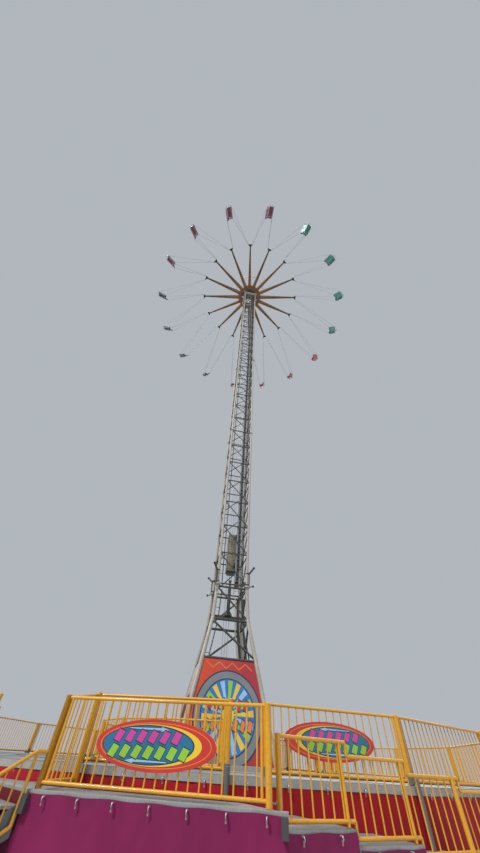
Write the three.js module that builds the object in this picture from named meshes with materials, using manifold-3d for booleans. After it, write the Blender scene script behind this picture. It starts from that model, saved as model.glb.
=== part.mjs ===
// A tower swing ride at half size: a lattice tower on splayed legs, a lift carriage with a
// sixteen-armed star, sixteen two-seat gondolas on chains, a counterweight and the boarding deck.
// Origin: middle of the tower on the ground. +Z is up, and people arrive from -Y.

import * as THREE from 'three';
import { mergeVertices } from 'three/addons/utils/BufferGeometryUtils.js';
import Module from 'manifold-3d';

const wasm = await Module();
wasm.setup();

// Half size: one metre of the real ride is 500 mm of the model.
const M = 500;
const gap = 0.3;
const runningGap = 6;
const tau = Math.PI * 2;
const degree = Math.PI / 180;

// Tower, width measured between tube centres.
const towerTurn = 9.5 * degree;
const towerWidth = 1.69 * M;
const tubeFlat = 0.075 * M;
const waistHeight = 8.3 * M;
const bayCount = 28;
const bayHeight = 1.83 * M;
const strutRadius = 0.034 * M;
const diagonalRadius = 0.028 * M;
const towerTop = waistHeight + bayCount * bayHeight;

// Legs, width between leg centres at three heights.
const legRadius = 0.095 * M;
const lowerFrameHeight = 6.55 * M;
const lowerFrameWidth = 1.89 * M;
const panelTopHeight = 4.85 * M;
const footWidth = 4.54 * M;
const footSize = 0.7 * M;
const footThickness = 0.06 * M;
const frameStrut = 0.07 * M;

// Deck, a ring of sixteen straight sides around the tower.
const deckSides = 16;
const deckRadius = 10.35 * M;
const deckFirstCorner = -89 * degree;
const deckTop = 1.44 * M;
const riser = 0.168 * M;
const floorThickness = 0.12 * M;
const holeHalf = 2.13 * M;
const frameBeam = 0.12 * M;
const skirtThickness = 0.03 * M;

// Landing and flights in front of the deck.
const landingTop = 7 * riser;
const going = 0.28 * M;
const treadCount = 6;
const exitStepRun = 1.45 * M;
const exitReach = 2.4 * M;
const exitTurn = 28 * degree;

// Railings.
const railHeight = 1.05 * M;
const railFoot = 0.07 * M;
const railRadius = 0.032 * M;
const postRadius = 0.055 * M;

// Star, carriage and gondolas.
const armCount = 16;
const starHeight = 57.7 * M;
const armTipRadius = 8.22 * M;
const firstArm = -92.8 * degree;
const hubSides = 24;
const forkHalf = 0.28 * M;
const lugThickness = 0.04 * M;
const hingeDrop = 0.1 * M;
const meanSwing = 38 * degree;
const windLean = 3.2 * degree;
const leeGondola = 6;
const chainDrop = 9.1 * M;
const chainRadius = 0.02 * M;
const benchHalf = 0.74 * M;

const paint = {
  tower: [0xcfc8ba, 0.55, 0.2],
  frame: [0x55585c, 0.6, 0.4],
  yellow: [0xe3a511, 0.45, 0.1],
  grey: [0x8d9290, 0.7, 0.2],
  red: [0xb01622, 0.6, 0],
  purple: [0x7e2148, 0.8, 0],
  orange: [0xa85a1e, 0.5, 0.2],
  white: [0xe9e7e1, 0.5, 0],
  steel: [0x6d7276, 0.4, 0.7],
  blue: [0x1d5fa8, 0.5, 0],
};
const shellColours = [0xb5146b, 0x0f9d80, 0xc81e2b, 0x2459b8];

const ride = new THREE.Group();

function material(kind) {
  const [color, roughness, metalness] = kind;
  return new THREE.MeshStandardMaterial({ color, roughness, metalness });
}

// A three.js geometry as a closed solid.
function solid(geometry) {
  const bare = geometry.index ? geometry.toNonIndexed() : geometry.clone();
  bare.deleteAttribute('normal');
  bare.deleteAttribute('uv');
  const merged = mergeVertices(bare, 1e-3);
  return new wasm.Manifold(new wasm.Mesh({
    numProp: 3,
    vertProperties: new Float32Array(merged.attributes.position.array),
    triVerts: new Uint32Array(merged.index.array),
  }));
}

function join(pieces) {
  return pieces.reduce((whole, piece) => whole.add(piece));
}

// A solid as a geometry with plain shaded faces.
function shape(body) {
  const mesh = body.getMesh();
  const geometry = new THREE.BufferGeometry();
  geometry.setAttribute('position', new THREE.BufferAttribute(mesh.vertProperties, 3));
  geometry.setIndex(new THREE.BufferAttribute(mesh.triVerts, 1));
  return geometry;
}

function piece(name, body, kind, parent = ride) {
  const mesh = new THREE.Mesh(shape(body), material(kind));
  mesh.name = name;
  parent.add(mesh);
  return mesh;
}

const at = (x, y, z) => new THREE.Vector3(x, y, z);
const polar = (radius, angle, z) => at(radius * Math.cos(angle), radius * Math.sin(angle), z);

// A round or square bar from a to b. Its first flat side faces the given direction.
function bar(a, b, radius, sides = 4, facing = null) {
  const along = b.clone().sub(a);
  const geometry = new THREE.CylinderGeometry(radius, radius, along.length(), sides);
  geometry.rotateY(Math.PI / sides);
  const up = along.clone().normalize();
  const side = facing ? facing.clone() : at(up.z, up.x, up.y);
  side.addScaledVector(up, -side.dot(up)).normalize();
  const basis = new THREE.Matrix4().makeBasis(side.clone().cross(up).negate(), up, side.clone());
  if (basis.determinant() < 0) {
    basis.makeBasis(side.clone().cross(up), up, side.clone());
  }
  geometry.applyMatrix4(basis);
  const middle = a.clone().add(b).multiplyScalar(0.5);
  geometry.translate(middle.x, middle.y, middle.z);
  return solid(geometry);
}

// A bar of rectangular section from a to b; the height lies along up.
function beam(a, b, width, height, up = at(0, 0, 1)) {
  const along = b.clone().sub(a);
  const geometry = new THREE.BoxGeometry(along.length(), width, height);
  const ahead = along.clone().normalize();
  const across = up.clone().cross(ahead).normalize();
  geometry.applyMatrix4(new THREE.Matrix4().makeBasis(ahead, across, ahead.clone().cross(across)));
  const middle = a.clone().add(b).multiplyScalar(0.5);
  geometry.translate(middle.x, middle.y, middle.z);
  return solid(geometry);
}

function block(centre, sizeX, sizeY, sizeZ) {
  const geometry = new THREE.BoxGeometry(sizeX, sizeY, sizeZ);
  geometry.translate(centre.x, centre.y, centre.z);
  return solid(geometry);
}

// An outline in the ground plane raised from low to high.
function slab(outline, low, high, holes = []) {
  const form = new THREE.Shape(outline.map(([x, y]) => new THREE.Vector2(x, y)));
  for (const hole of holes) {
    form.holes.push(new THREE.Path(hole.map(([x, y]) => new THREE.Vector2(x, y))));
  }
  const geometry = new THREE.ExtrudeGeometry(form, { depth: high - low, bevelEnabled: false });
  geometry.translate(0, 0, low);
  return solid(geometry);
}

// A flat outline in a plane given by its corner, two directions and thickness along the normal.
function plate(outline, origin, right, up, thickness) {
  const form = new THREE.Shape(outline.map(([x, y]) => new THREE.Vector2(x, y)));
  const geometry = new THREE.ExtrudeGeometry(form, { depth: thickness, bevelEnabled: false });
  geometry.translate(0, 0, -thickness / 2);
  geometry.applyMatrix4(new THREE.Matrix4().makeBasis(right, up, right.clone().cross(up)));
  geometry.translate(origin.x, origin.y, origin.z);
  return solid(geometry);
}

function polygon(radius, sides, first) {
  return Array.from({ length: sides }, (_, k) => {
    const angle = first + k * tau / sides;
    return [radius * Math.cos(angle), radius * Math.sin(angle)];
  });
}

function band(outer, inner, sides, first, low, high) {
  return slab(polygon(outer, sides, first), low, high, [polygon(inner, sides, first).reverse()]);
}

const tower = new THREE.Group();
tower.rotation.z = towerTurn;
ride.add(tower);

// The tower stands in its own turned frame; corner(sx, sy) is the middle of one tube.
const half = towerWidth / 2;
const corner = (sx, sy, z, width = towerWidth) => at(sx * width / 2, sy * width / 2, z);

function tube(sx, sy, low, high) {
  const radius = tubeFlat / Math.cos(Math.PI / 8);
  return bar(corner(sx, sy, low), corner(sx, sy, high), radius, 8, at(1, 0, 0));
}

// One flat side: two corner tubes with a strut and a diagonal in each bay.
function ladderSide(sy) {
  const length = towerTop - waistHeight;
  const parts = [tube(-1, sy, gap, length), tube(1, sy, gap, length)];
  for (let bay = 0; bay <= bayCount; bay += 1) {
    const z = Math.min(Math.max(bay * bayHeight, strutRadius + gap), length - strutRadius);
    parts.push(bar(corner(-1, sy, z), corner(1, sy, z), strutRadius, 4, at(0, 0, 1)));
  }
  for (let bay = 0; bay < bayCount; bay += 1) {
    const low = corner(-sy, sy, bay * bayHeight + strutRadius);
    const high = corner(sy, sy, (bay + 1) * bayHeight - strutRadius);
    parts.push(bar(low, high, diagonalRadius, 4, at(0, 1, 0)));
  }
  return join(parts);
}

// The side bracing between the tubes of the front and the back: struts and diagonals end to end.
function bracingSide(sx) {
  const length = towerTop - waistHeight;
  const reach = half - tubeFlat - gap;
  const parts = [];
  for (let bay = 0; bay <= bayCount; bay += 1) {
    const z = Math.min(Math.max(bay * bayHeight, strutRadius + gap), length - strutRadius);
    parts.push(bar(at(sx * half, -reach, z), at(sx * half, reach, z), strutRadius, 4, at(0, 0, 1)));
  }
  const inset = 0.07 * M;
  for (let bay = 0; bay < bayCount; bay += 1) {
    const low = at(sx * half, sx * (reach - inset), Math.max(bay * bayHeight, strutRadius));
    const high = at(sx * half, -sx * (reach - inset), (bay + 1) * bayHeight - (bay + 1 === bayCount ? strutRadius : 0));
    parts.push(bar(low, high, diagonalRadius, 4, at(1, 0, 0)));
  }
  return join(parts);
}

function raised(z, parent = tower) {
  const group = new THREE.Group();
  group.position.z = z;
  parent.add(group);
  return group;
}

const shaft = raised(waistHeight);
piece('tower_front', ladderSide(-1), paint.tower, shaft);
piece('tower_back', ladderSide(1), paint.tower, shaft);
piece('tower_left', bracingSide(-1), paint.tower, shaft);
piece('tower_right', bracingSide(1), paint.tower, shaft);

// The guide tube inside the front and the ladder inside the back, both from bottom to top.
const guideRadius = 0.05 * M;
const guideX = 0.085 * M;
const strutFlat = strutRadius * Math.cos(Math.PI / 4);
const guideY = -half + strutFlat + gap + guideRadius;
piece('guide_tube', bar(
  at(guideX, guideY, 0.25 * M), at(guideX, guideY, towerTop - waistHeight - 0.3 * M), guideRadius / Math.cos(Math.PI / 8), 8, at(1, 0, 0),
), paint.steel, shaft);

const ladderDepth = 0.12 * M;
const ladderBack = half - strutFlat - gap;
const ladderLeft = 0.4 * M;
const ladderRight = 0.7 * M;
const stringerThickness = 0.03 * M;
const ladderLow = 0.12 * M;
const ladderHigh = towerTop - waistHeight - 0.2 * M;

function ladder() {
  const y = ladderBack - ladderDepth / 2;
  const parts = [ladderLeft, ladderRight].map((x) => block(
    at(x, y, (ladderLow + ladderHigh) / 2), stringerThickness, ladderDepth, ladderHigh - ladderLow,
  ));
  const rungs = 16;
  for (let k = 0; k < rungs; k += 1) {
    const z = ladderLow + 0.4 * M + k * (ladderHigh - ladderLow - 0.8 * M) / (rungs - 1);
    parts.push(bar(at(ladderLeft, y, z), at(ladderRight, y, z), 0.02 * M, 4, at(0, 0, 1)));
  }
  return join(parts);
}
piece('service_ladder', ladder(), paint.tower, shaft);

// Legs: a short waist, a lower frame and four splayed legs on foot plates.
function legWidth(z) {
  if (z > lowerFrameHeight) {
    const share = (z - lowerFrameHeight) / (waistHeight - lowerFrameHeight);
    return lowerFrameWidth + (towerWidth - lowerFrameWidth) * share;
  }
  return footWidth + (lowerFrameWidth - footWidth) * z / lowerFrameHeight;
}

const legCorner = (sx, sy, z) => corner(sx, sy, z, legWidth(z));
const corners = [[-1, -1], [1, -1], [1, 1], [-1, 1]];

function legFrame() {
  const plateThickness = 0.05 * M;
  const waistTop = waistHeight - plateThickness;
  const parts = [];
  for (const [sx, sy] of corners) {
    parts.push(bar(legCorner(sx, sy, footThickness / 2), legCorner(sx, sy, lowerFrameHeight), legRadius, 6));
    parts.push(bar(legCorner(sx, sy, lowerFrameHeight - 0.05 * M), legCorner(sx, sy, waistTop), legRadius, 6));
    parts.push(block(legCorner(sx, sy, waistHeight - plateThickness / 2), 0.32 * M, 0.32 * M, plateThickness));
    parts.push(block(legCorner(sx, sy, footThickness / 2), footSize, footSize, footThickness));
    parts.push(...towerStops(sx, sy));
  }
  for (let k = 0; k < 4; k += 1) {
    const a = corners[k];
    const b = corners[(k + 1) % 4];
    for (const z of [waistTop - 0.08 * M, lowerFrameHeight, panelTopHeight]) {
      parts.push(bar(legCorner(...a, z), legCorner(...b, z), frameStrut, 4, at(0, 0, 1)));
    }
    parts.push(bar(legCorner(...a, 0.3 * M), legCorner(...b, 0.3 * M), 0.09 * M, 4, at(0, 0, 1)));
    parts.push(bar(legCorner(...a, waistTop - 0.1 * M), legCorner(...b, lowerFrameHeight), 0.05 * M, 4));
    parts.push(bar(legCorner(...a, lowerFrameHeight), legCorner(...b, panelTopHeight), 0.05 * M, 4));
  }
  parts.push(...centreBuffer());
  return join(parts);
}

// Two stops at each corner: a thick rod sloping up beside the tube and a ball on a level arm.
function towerStops(sx, sy) {
  const out = at(sx, sy, 0).normalize();
  const spot = (reach, z) => corner(sx, sy, z).addScaledVector(out, reach);
  const rodFoot = spot(0.16 * M, waistHeight + 0.72 * M);
  const rodHead = spot(0.5 * M, waistHeight + 1.02 * M);
  const ball = new THREE.IcosahedronGeometry(0.06 * M, 1);
  const level = waistHeight - 0.025 * M;
  const ballPoint = spot(0.42 * M, level);
  ball.translate(ballPoint.x, ballPoint.y, ballPoint.z);
  return [
    bar(spot(0.15 * M, level), spot(0.15 * M, waistHeight + 0.78 * M), 0.04 * M, 4),
    bar(rodFoot, rodHead, 0.055 * M, 6),
    bar(spot(0.1 * M, level), ballPoint, 0.03 * M, 4),
    solid(ball),
  ];
}

// A dark column on the lower frame stops the counterweight.
function centreBuffer() {
  const reach = lowerFrameWidth / 2;
  const z = lowerFrameHeight + 0.38 * M;
  const posts = [-reach, reach].map((x) => bar(at(x, 0, lowerFrameHeight), at(x, 0, z), 0.07 * M, 4));
  return [
    ...posts,
    bar(at(-reach, 0, z), at(reach, 0, z), 0.07 * M, 4, at(0, 0, 1)),
    bar(at(0, 0, z), at(0, 0, 8.9 * M), 0.09 * M, 8),
    block(at(0, 0, z + 0.1 * M), 0.4 * M, 0.4 * M, 0.08 * M),
  ];
}
piece('leg_frame', legFrame(), paint.tower, tower);

// Four leaning walls between the legs, the front one carrying the painted panel.
function legWall(top, bottom, thickness) {
  const clear = legRadius + 4 * gap;
  const lean = (legWidth(bottom) - legWidth(top)) / 2;
  const rise = Math.hypot(top - bottom, lean);
  const lowHalf = legWidth(bottom) / 2 - clear;
  const highHalf = legWidth(top) / 2 - clear;
  const outline = [[-lowHalf, 0], [lowHalf, 0], [highHalf, rise], [-highHalf, rise]];
  const up = at(0, lean, top - bottom).normalize();
  return plate(outline, at(0, -legWidth(bottom) / 2, bottom), at(1, 0, 0), up, thickness);
}

const wallThickness = 0.06 * M;
const legLean = Math.atan((footWidth - lowerFrameWidth) / 2 / lowerFrameHeight);
const wallBottom = deckTop - floorThickness;
const wallTop = panelTopHeight - frameStrut * Math.cos(Math.PI / 4) - wallThickness / 2 * Math.sin(legLean) - gap;
for (const [name, turn, kind] of [
  ['front_panel', 0, paint.red], ['right_wall', 90, paint.purple],
  ['back_wall', 180, paint.purple], ['left_wall', 270, paint.purple],
]) {
  const wall = piece(name, legWall(wallTop, wallBottom, wallThickness), kind, tower);
  wall.rotation.z = turn * degree;
}

// Head of the tower: a platform with the rope sheaves, and a white hoop on spokes.
const mastTop = 1.48 * M;

function towerHead() {
  const base = 0.1 * M;
  const parts = [block(at(0, 0, base / 2 + gap), 2.1 * M, 2.1 * M, base)];
  for (const x of [-0.3, 0.3]) {
    parts.push(block(at(x * M, 0, 0.5 * M), 0.06 * M, 1.5 * M, 0.9 * M));
    for (const y of [-0.55, 0.55]) {
      const wheel = new THREE.CylinderGeometry(0.42 * M, 0.42 * M, 0.1 * M, 16);
      wheel.rotateZ(Math.PI / 2);
      wheel.translate(x * M + Math.sign(x) * 0.08 * M, y * M, 0.6 * M);
      parts.push(solid(wheel));
    }
  }
  parts.push(bar(at(-0.5 * M, 0, 0.7 * M), at(0.5 * M, 0, 0.7 * M), 0.05 * M, 8));
  parts.push(bar(at(0, 0, 0.05 * M), at(0, 0, mastTop), 0.09 * M, 8));
  return join(parts);
}
const head = raised(towerTop);
piece('tower_head', towerHead(), paint.tower, head);

const hoopRadius = 2.6 * M;
const hoopHeight = 1.42 * M;

function headHoop() {
  const collar = band(0.3 * M, 0.12 * M, 12, 0, hoopHeight - 0.12 * M, mastTop + gap + 0.04 * M);
  const cap = slab(polygon(0.3 * M, 12, 0), mastTop + gap, mastTop + gap + 0.04 * M);
  const hoop = band(hoopRadius, hoopRadius - 0.14 * M, 24, 0, hoopHeight - 0.1 * M, hoopHeight + 0.1 * M);
  const parts = [collar, cap, hoop];
  for (let k = 0; k < 8; k += 1) {
    const angle = k * tau / 8;
    parts.push(bar(polar(0.25 * M, angle, hoopHeight), polar(hoopRadius - 0.07 * M, angle, hoopHeight), 0.04 * M, 4));
  }
  return join(parts);
}
piece('head_hoop', headHoop(), paint.white, head);

// The skirt hangs under the deck's edge, just outside the rim beams.
const skirtRadius = deckRadius;
const skirtInner = skirtRadius - skirtThickness;

// Steel frame under the deck: ring beams, radial beams and legs.
const deckCorner = (k, radius, z) => polar(radius, deckFirstCorner + k * tau / deckSides, z);

function turned(x, y, z) {
  return at(x, y, z).applyAxisAngle(at(0, 0, 1), towerTurn);
}

function baseFrame() {
  const top = deckTop - floorThickness - gap;
  const z = top - frameBeam / 2;
  const rim = skirtInner - (frameBeam / 2 + 2 * gap) / Math.cos(Math.PI / deckSides);
  const ring = 3.9 * M;
  const sole = footThickness / 2;
  const soleWidth = legWidth(sole);
  const parts = [];
  const post = (radius, angle) => {
    const size = frameBeam * 0.9;
    parts.push(beam(polar(radius, angle, 0), polar(radius, angle, top), size, size, polar(1, angle, 0)));
  };
  for (let k = 0; k < deckSides; k += 1) {
    parts.push(beam(deckCorner(k, rim, z), deckCorner(k + 1, rim, z), frameBeam, frameBeam));
    post(rim - frameBeam / 2, deckFirstCorner + k * tau / deckSides);
  }
  for (let k = 0; k < deckSides; k += 2) {
    const angle = deckFirstCorner + k * tau / deckSides;
    const next = angle + 2 * tau / deckSides;
    parts.push(beam(polar(ring, angle, z), polar(rim, angle, z), frameBeam, frameBeam));
    parts.push(beam(polar(ring, angle, z), polar(ring, next, z), frameBeam, frameBeam));
    post(ring, angle);
  }
  for (const [sx, sy] of corners) {
    const foot = turned(sx * soleWidth / 2, sy * soleWidth / 2, sole);
    const k = 2 * Math.round((Math.atan2(foot.y, foot.x) - deckFirstCorner) / tau * deckSides / 2);
    parts.push(beam(foot, deckCorner(k, ring, sole), frameBeam, footThickness));
  }
  const soles = corners.map(([sx, sy]) => {
    const size = footSize + 2 * gap;
    const outline = [[-1, -1], [1, -1], [1, 1], [-1, 1]].map(([x, y]) => {
      const point = turned(sx * soleWidth / 2 + x * size / 2, sy * soleWidth / 2 + y * size / 2, 0);
      return [point.x, point.y];
    });
    return slab(outline, -footThickness, 2 * footThickness);
  });
  return join(parts).subtract(join(soles));
}
piece('base_frame', baseFrame(), paint.grey);

const hole = corners.map(([sx, sy]) => {
  const point = turned(sx * holeHalf, sy * holeHalf, 0);
  return [point.x, point.y];
});
piece('deck_floor', slab(
  polygon(deckRadius, deckSides, deckFirstCorner), deckTop - floorThickness, deckTop, [hole.slice().reverse()],
), paint.grey);

piece('deck_skirt', band(
  skirtRadius, skirtInner, deckSides, deckFirstCorner, 0, deckTop - floorThickness - gap,
), paint.red);

// A railing along a line of posts: a top rail, a foot rail and a post at each point.
function railing(points, { closed = false, height = railHeight } = {}) {
  const parts = [];
  const spans = closed ? points.length : points.length - 1;
  for (let k = 0; k < spans; k += 1) {
    for (const level of [railFoot, height]) {
      const a = points[k].clone().add(at(0, 0, level));
      const b = points[(k + 1) % points.length].clone().add(at(0, 0, level));
      parts.push(bar(a, b, railRadius));
    }
  }
  for (const point of points) {
    parts.push(bar(point, point.clone().add(at(0, 0, height + railRadius)), postRadius));
  }
  return join(parts);
}

// Upright bars between the rails that a sign is fixed to.
function signBars(a, b, share) {
  const along = b.clone().sub(a).normalize();
  const across = at(along.y, -along.x, 0);
  const middle = between(a, b, share);
  return [-1, 1].map((side) => {
    const foot = middle.clone().addScaledVector(along, side * 0.44 * M);
    return bar(foot.clone().add(at(0, 0, railFoot)), foot.clone().add(at(0, 0, railHeight)), railRadius, 4, across);
  });
}

// The deck railing leaves a way in above the landing and a way out above the exit flight.
const between = (a, b, share) => a.clone().lerp(b, share);
const railLine = deckRadius - 0.12 * M;
const railCorner = (k) => deckCorner(k, railLine, deckTop + gap);
const exitSignShare = 0.555;

function deckRails() {
  const points = [between(railCorner(0), railCorner(1), 0.2)];
  for (let k = 1; k <= 14; k += 1) {
    points.push(railCorner(k));
  }
  points.push(between(railCorner(14), railCorner(15), 0.4));
  return join([railing(points), ...signBars(railCorner(0), railCorner(1), exitSignShare)]);
}
piece('deck_rails', deckRails(), paint.yellow);
piece('front_rails', railing([between(railCorner(15), railCorner(16), 0.25), railCorner(16)]), paint.yellow);

// A second railing rings the foot of the tower, open for staff on the right.
const innerFenceRadius = 5.05 * M;

function innerFence() {
  const points = [];
  for (let k = 2; k <= 16; k += 1) {
    points.push(deckCorner(k, innerFenceRadius, deckTop + gap));
  }
  return railing(points);
}
piece('inner_fence', innerFence(), paint.yellow);

// Everything outside the deck is cut back to this prism, so it follows the deck's sides.
const deckPrism = slab(polygon(deckRadius + 2 * gap, deckSides, deckFirstCorner), -M, deckTop + M);

// The exit flight is a straight row of low steps; run is along it, depth is towards the deck.
const exitAlong = at(Math.cos(exitTurn), Math.sin(exitTurn), 0);
const exitIn = at(-Math.sin(exitTurn), Math.cos(exitTurn), 0);
const exitStart = at(0.92 * M, -12.08 * M, 0);
const exitStepTop = (k) => landingTop - (k + 1) * riser;
const exitPoint = (run, depth, z) => exitStart.clone()
  .addScaledVector(exitAlong, run).addScaledVector(exitIn, depth).setZ(z);

// Landing in front of the deck, between the entrance flight and the exit flight.
const landingFront = { right: exitPoint(-2 * gap, -0.22 * M, 0), left: at(-2.95 * M, -11.45 * M, 0) };
const landingLeftBack = at(-5.59 * M, -8.58 * M, 0);
const landingOutline = [
  landingFront.right, exitPoint(-2 * gap, exitReach, 0), at(-1 * M, -9 * M, 0),
  deckCorner(15, deckRadius - 0.5 * M, 0), landingLeftBack, landingFront.left,
];

function landing() {
  const outline = landingOutline.map((point) => [point.x, point.y]);
  const wall = 0.05 * M;
  const low = landingTop - floorThickness / 2;
  const parts = [slab(outline, landingTop - floorThickness, landingTop)];
  const count = landingOutline.length;
  for (const k of [0, 3, 4, 5]) {
    const a = landingOutline[k].clone();
    const b = landingOutline[(k + 1) % count].clone();
    const along = b.clone().sub(a).normalize();
    const inwards = at(-along.y, along.x, 0).multiplyScalar(wall / 2);
    a.addScaledVector(along, -wall).add(inwards);
    b.addScaledVector(along, wall).add(inwards);
    parts.push(beam(a.setZ(low / 2), b.setZ(low / 2), wall, low));
  }
  return join(parts).intersect(slab(outline, 0, landingTop)).subtract(deckPrism);
}
piece('landing', landing(), paint.purple);

// Entrance flight, going down from the left end of the landing.
const flightAcross = landingLeftBack.clone().sub(landingFront.left).normalize();
const flightDown = at(flightAcross.y, -flightAcross.x, 0).negate();
const flightWidth = landingLeftBack.distanceTo(landingFront.left);

function entranceStairs() {
  const thickness = 0.16 * M;
  const top = landingTop - riser;
  const outline = [[0, top]];
  for (let k = 0; k < treadCount; k += 1) {
    outline.push([(k + 1) * going, top - k * riser]);
    outline.push([(k + 1) * going, top - (k + 1) * riser]);
  }
  const end = treadCount * going;
  outline.pop();
  outline.push([end, 0], [end - 0.1 * M, 0], [0, top - thickness - 0.1 * M]);
  const side = flightDown.clone();
  const origin = landingFront.left.clone().addScaledVector(flightAcross, flightWidth / 2)
    .addScaledVector(flightDown, 2 * gap);
  return plate(outline, origin, side, at(0, 0, 1), flightWidth - 0.1 * M);
}
piece('entrance_stairs', entranceStairs(), paint.grey);

// Railings of the landing and of the entrance flight.
const landingRailRight = landingFront.right.clone().add(at(-0.25 * M, 0.15 * M, landingTop + gap));
const landingRailLeft = landingFront.left.clone().add(at(0.12 * M, 0.09 * M, landingTop + gap));
const entranceSignShare = 0.5;
const handrailDepth = 0.76 * M;
const handrailTop = landingTop + 0.4 * M;
const queueRailTop = landingTop + railHeight;

// A handrail beside the flight: it leaves a landing post level, then follows the treads.
function flightRail(post, start, top) {
  const run = treadCount * going * 0.62;
  const high = start.clone().addScaledVector(flightDown, 0.06 * M).setZ(top);
  const low = high.clone().addScaledVector(flightDown, run).add(at(0, 0, -run * riser / going));
  const down = at(0, 0, -handrailDepth);
  return join([
    bar(post.clone().setZ(top), high, railRadius),
    bar(high, low, railRadius),
    bar(high.clone().add(down), low.clone().add(down), railRadius),
    bar(low.clone().add(at(0, 0, railRadius)), low.clone().setZ(0), railRadius * 1.3),
    bar(high, high.clone().add(down), railRadius),
  ]);
}

// The last panel parts the way in from the rest of the landing and rises to the deck railing's first post.
function landingRail() {
  const start = landingFront.left.clone().addScaledVector(flightAcross, -0.02 * M);
  const height = 1.09 * M;
  const up = (point, rise) => point.clone().add(at(0, 0, rise));
  const parting = at(-2.72 * M, -9.93 * M, landingTop + gap);
  return join([
    railing([landingRailRight, landingRailLeft], { height }),
    bar(parting, up(parting, 1.34 * M), postRadius),
    bar(up(landingRailLeft, height), up(parting, 1.3 * M), railRadius),
    bar(up(landingRailLeft, railFoot), up(parting, railFoot), railRadius),
    ...signBars(landingRailLeft, landingRailRight, entranceSignShare),
    flightRail(landingRailLeft, start, handrailTop),
  ]);
}
piece('landing_rail', landingRail(), paint.yellow);

function queueRail() {
  const post = landingLeftBack.clone().addScaledVector(flightAcross, -0.12 * M)
    .addScaledVector(flightDown, -0.06 * M).setZ(landingTop + gap);
  const start = landingLeftBack.clone().addScaledVector(flightAcross, 0.02 * M);
  return join([railing([post]), flightRail(post, start, queueRailTop)]);
}
piece('queue_rail', queueRail(), paint.yellow);

// Each step of the exit flight is a floor on an outer wall and an end wall.
function exitSteps() {
  const wall = 0.05 * M;
  const middle = exitReach / 2;
  const parts = [];
  for (let k = 0; k < treadCount; k += 1) {
    const top = exitStepTop(k);
    const low = k * exitStepRun;
    const high = low + exitStepRun;
    const floor = top - wall / 2;
    parts.push(beam(exitPoint(low, middle, floor), exitPoint(high, middle, floor), exitReach, wall));
    parts.push(beam(exitPoint(low, wall / 2, top / 2), exitPoint(high, wall / 2, top / 2), wall, top));
    parts.push(beam(exitPoint(high - wall, middle, top / 2), exitPoint(high, middle, top / 2), exitReach, top));
  }
  const top = exitStepTop(0);
  parts.push(beam(exitPoint(0, middle, top / 2), exitPoint(wall, middle, top / 2), exitReach, top));
  return join(parts).subtract(deckPrism);
}
piece('exit_steps', exitSteps(), paint.purple);

function exitRails() {
  const depth = 0.08 * M;
  const height = 0.92 * M;
  const foot = 0.06 * M;
  const parts = [];
  for (let k = 0; k < treadCount; k += 1) {
    const top = exitStepTop(k);
    const low = k * exitStepRun + 0.07 * M;
    const high = (k + 1) * exitStepRun + (k + 1 === treadCount ? -0.05 * M : 0.07 * M);
    for (const level of [foot, height]) {
      parts.push(bar(exitPoint(low, depth, top + level), exitPoint(high, depth, top + level), railRadius));
    }
    const base = k === 0 ? gap : foot;
    const rise = k === 0 ? 0 : riser;
    parts.push(bar(exitPoint(low, depth, top + base), exitPoint(low, depth, top + height + rise), railRadius));
    parts.push(bar(
      exitPoint(high - 0.15 * M, depth, top + gap), exitPoint(high - 0.15 * M, depth, top + height), railRadius,
    ));
  }
  return join(parts);
}
piece('exit_rail', exitRails(), paint.yellow);

// Two oval signs on the railings.
function ovalSign(width, height, thickness) {
  const form = new THREE.Shape();
  form.absellipse(0, 0, width / 2, height / 2, 0, tau);
  const geometry = new THREE.ExtrudeGeometry(form, { depth: thickness, bevelEnabled: false, curveSegments: 32 });
  geometry.rotateX(Math.PI / 2);
  return solid(geometry);
}

function sign(name, a, b, share, z) {
  const mesh = piece(name, ovalSign(2.06 * M, 0.6 * M, 0.04 * M), paint.blue);
  const along = b.clone().sub(a).normalize();
  const outward = at(along.y, -along.x, 0);
  const standoff = railRadius * Math.cos(Math.PI / 4) + gap;
  mesh.position.copy(between(a, b, share).addScaledVector(outward, standoff).setZ(z));
  mesh.rotation.z = Math.atan2(along.y, along.x);
  return mesh;
}
sign('entrance_sign', landingRailLeft, landingRailRight, entranceSignShare, 1.73 * M);
sign('exit_sign', railCorner(0), railCorner(1), exitSignShare, 1.99 * M);

// Lift carriage: a square sleeve around the tower with the fixed ring of the slewing bearing.
const sleeveHalf = 1.0 * M;
const sleevePost = 0.09 * M;
const bearingRadius = 1.58 * M;
const bearingTop = 0.2 * M;

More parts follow.
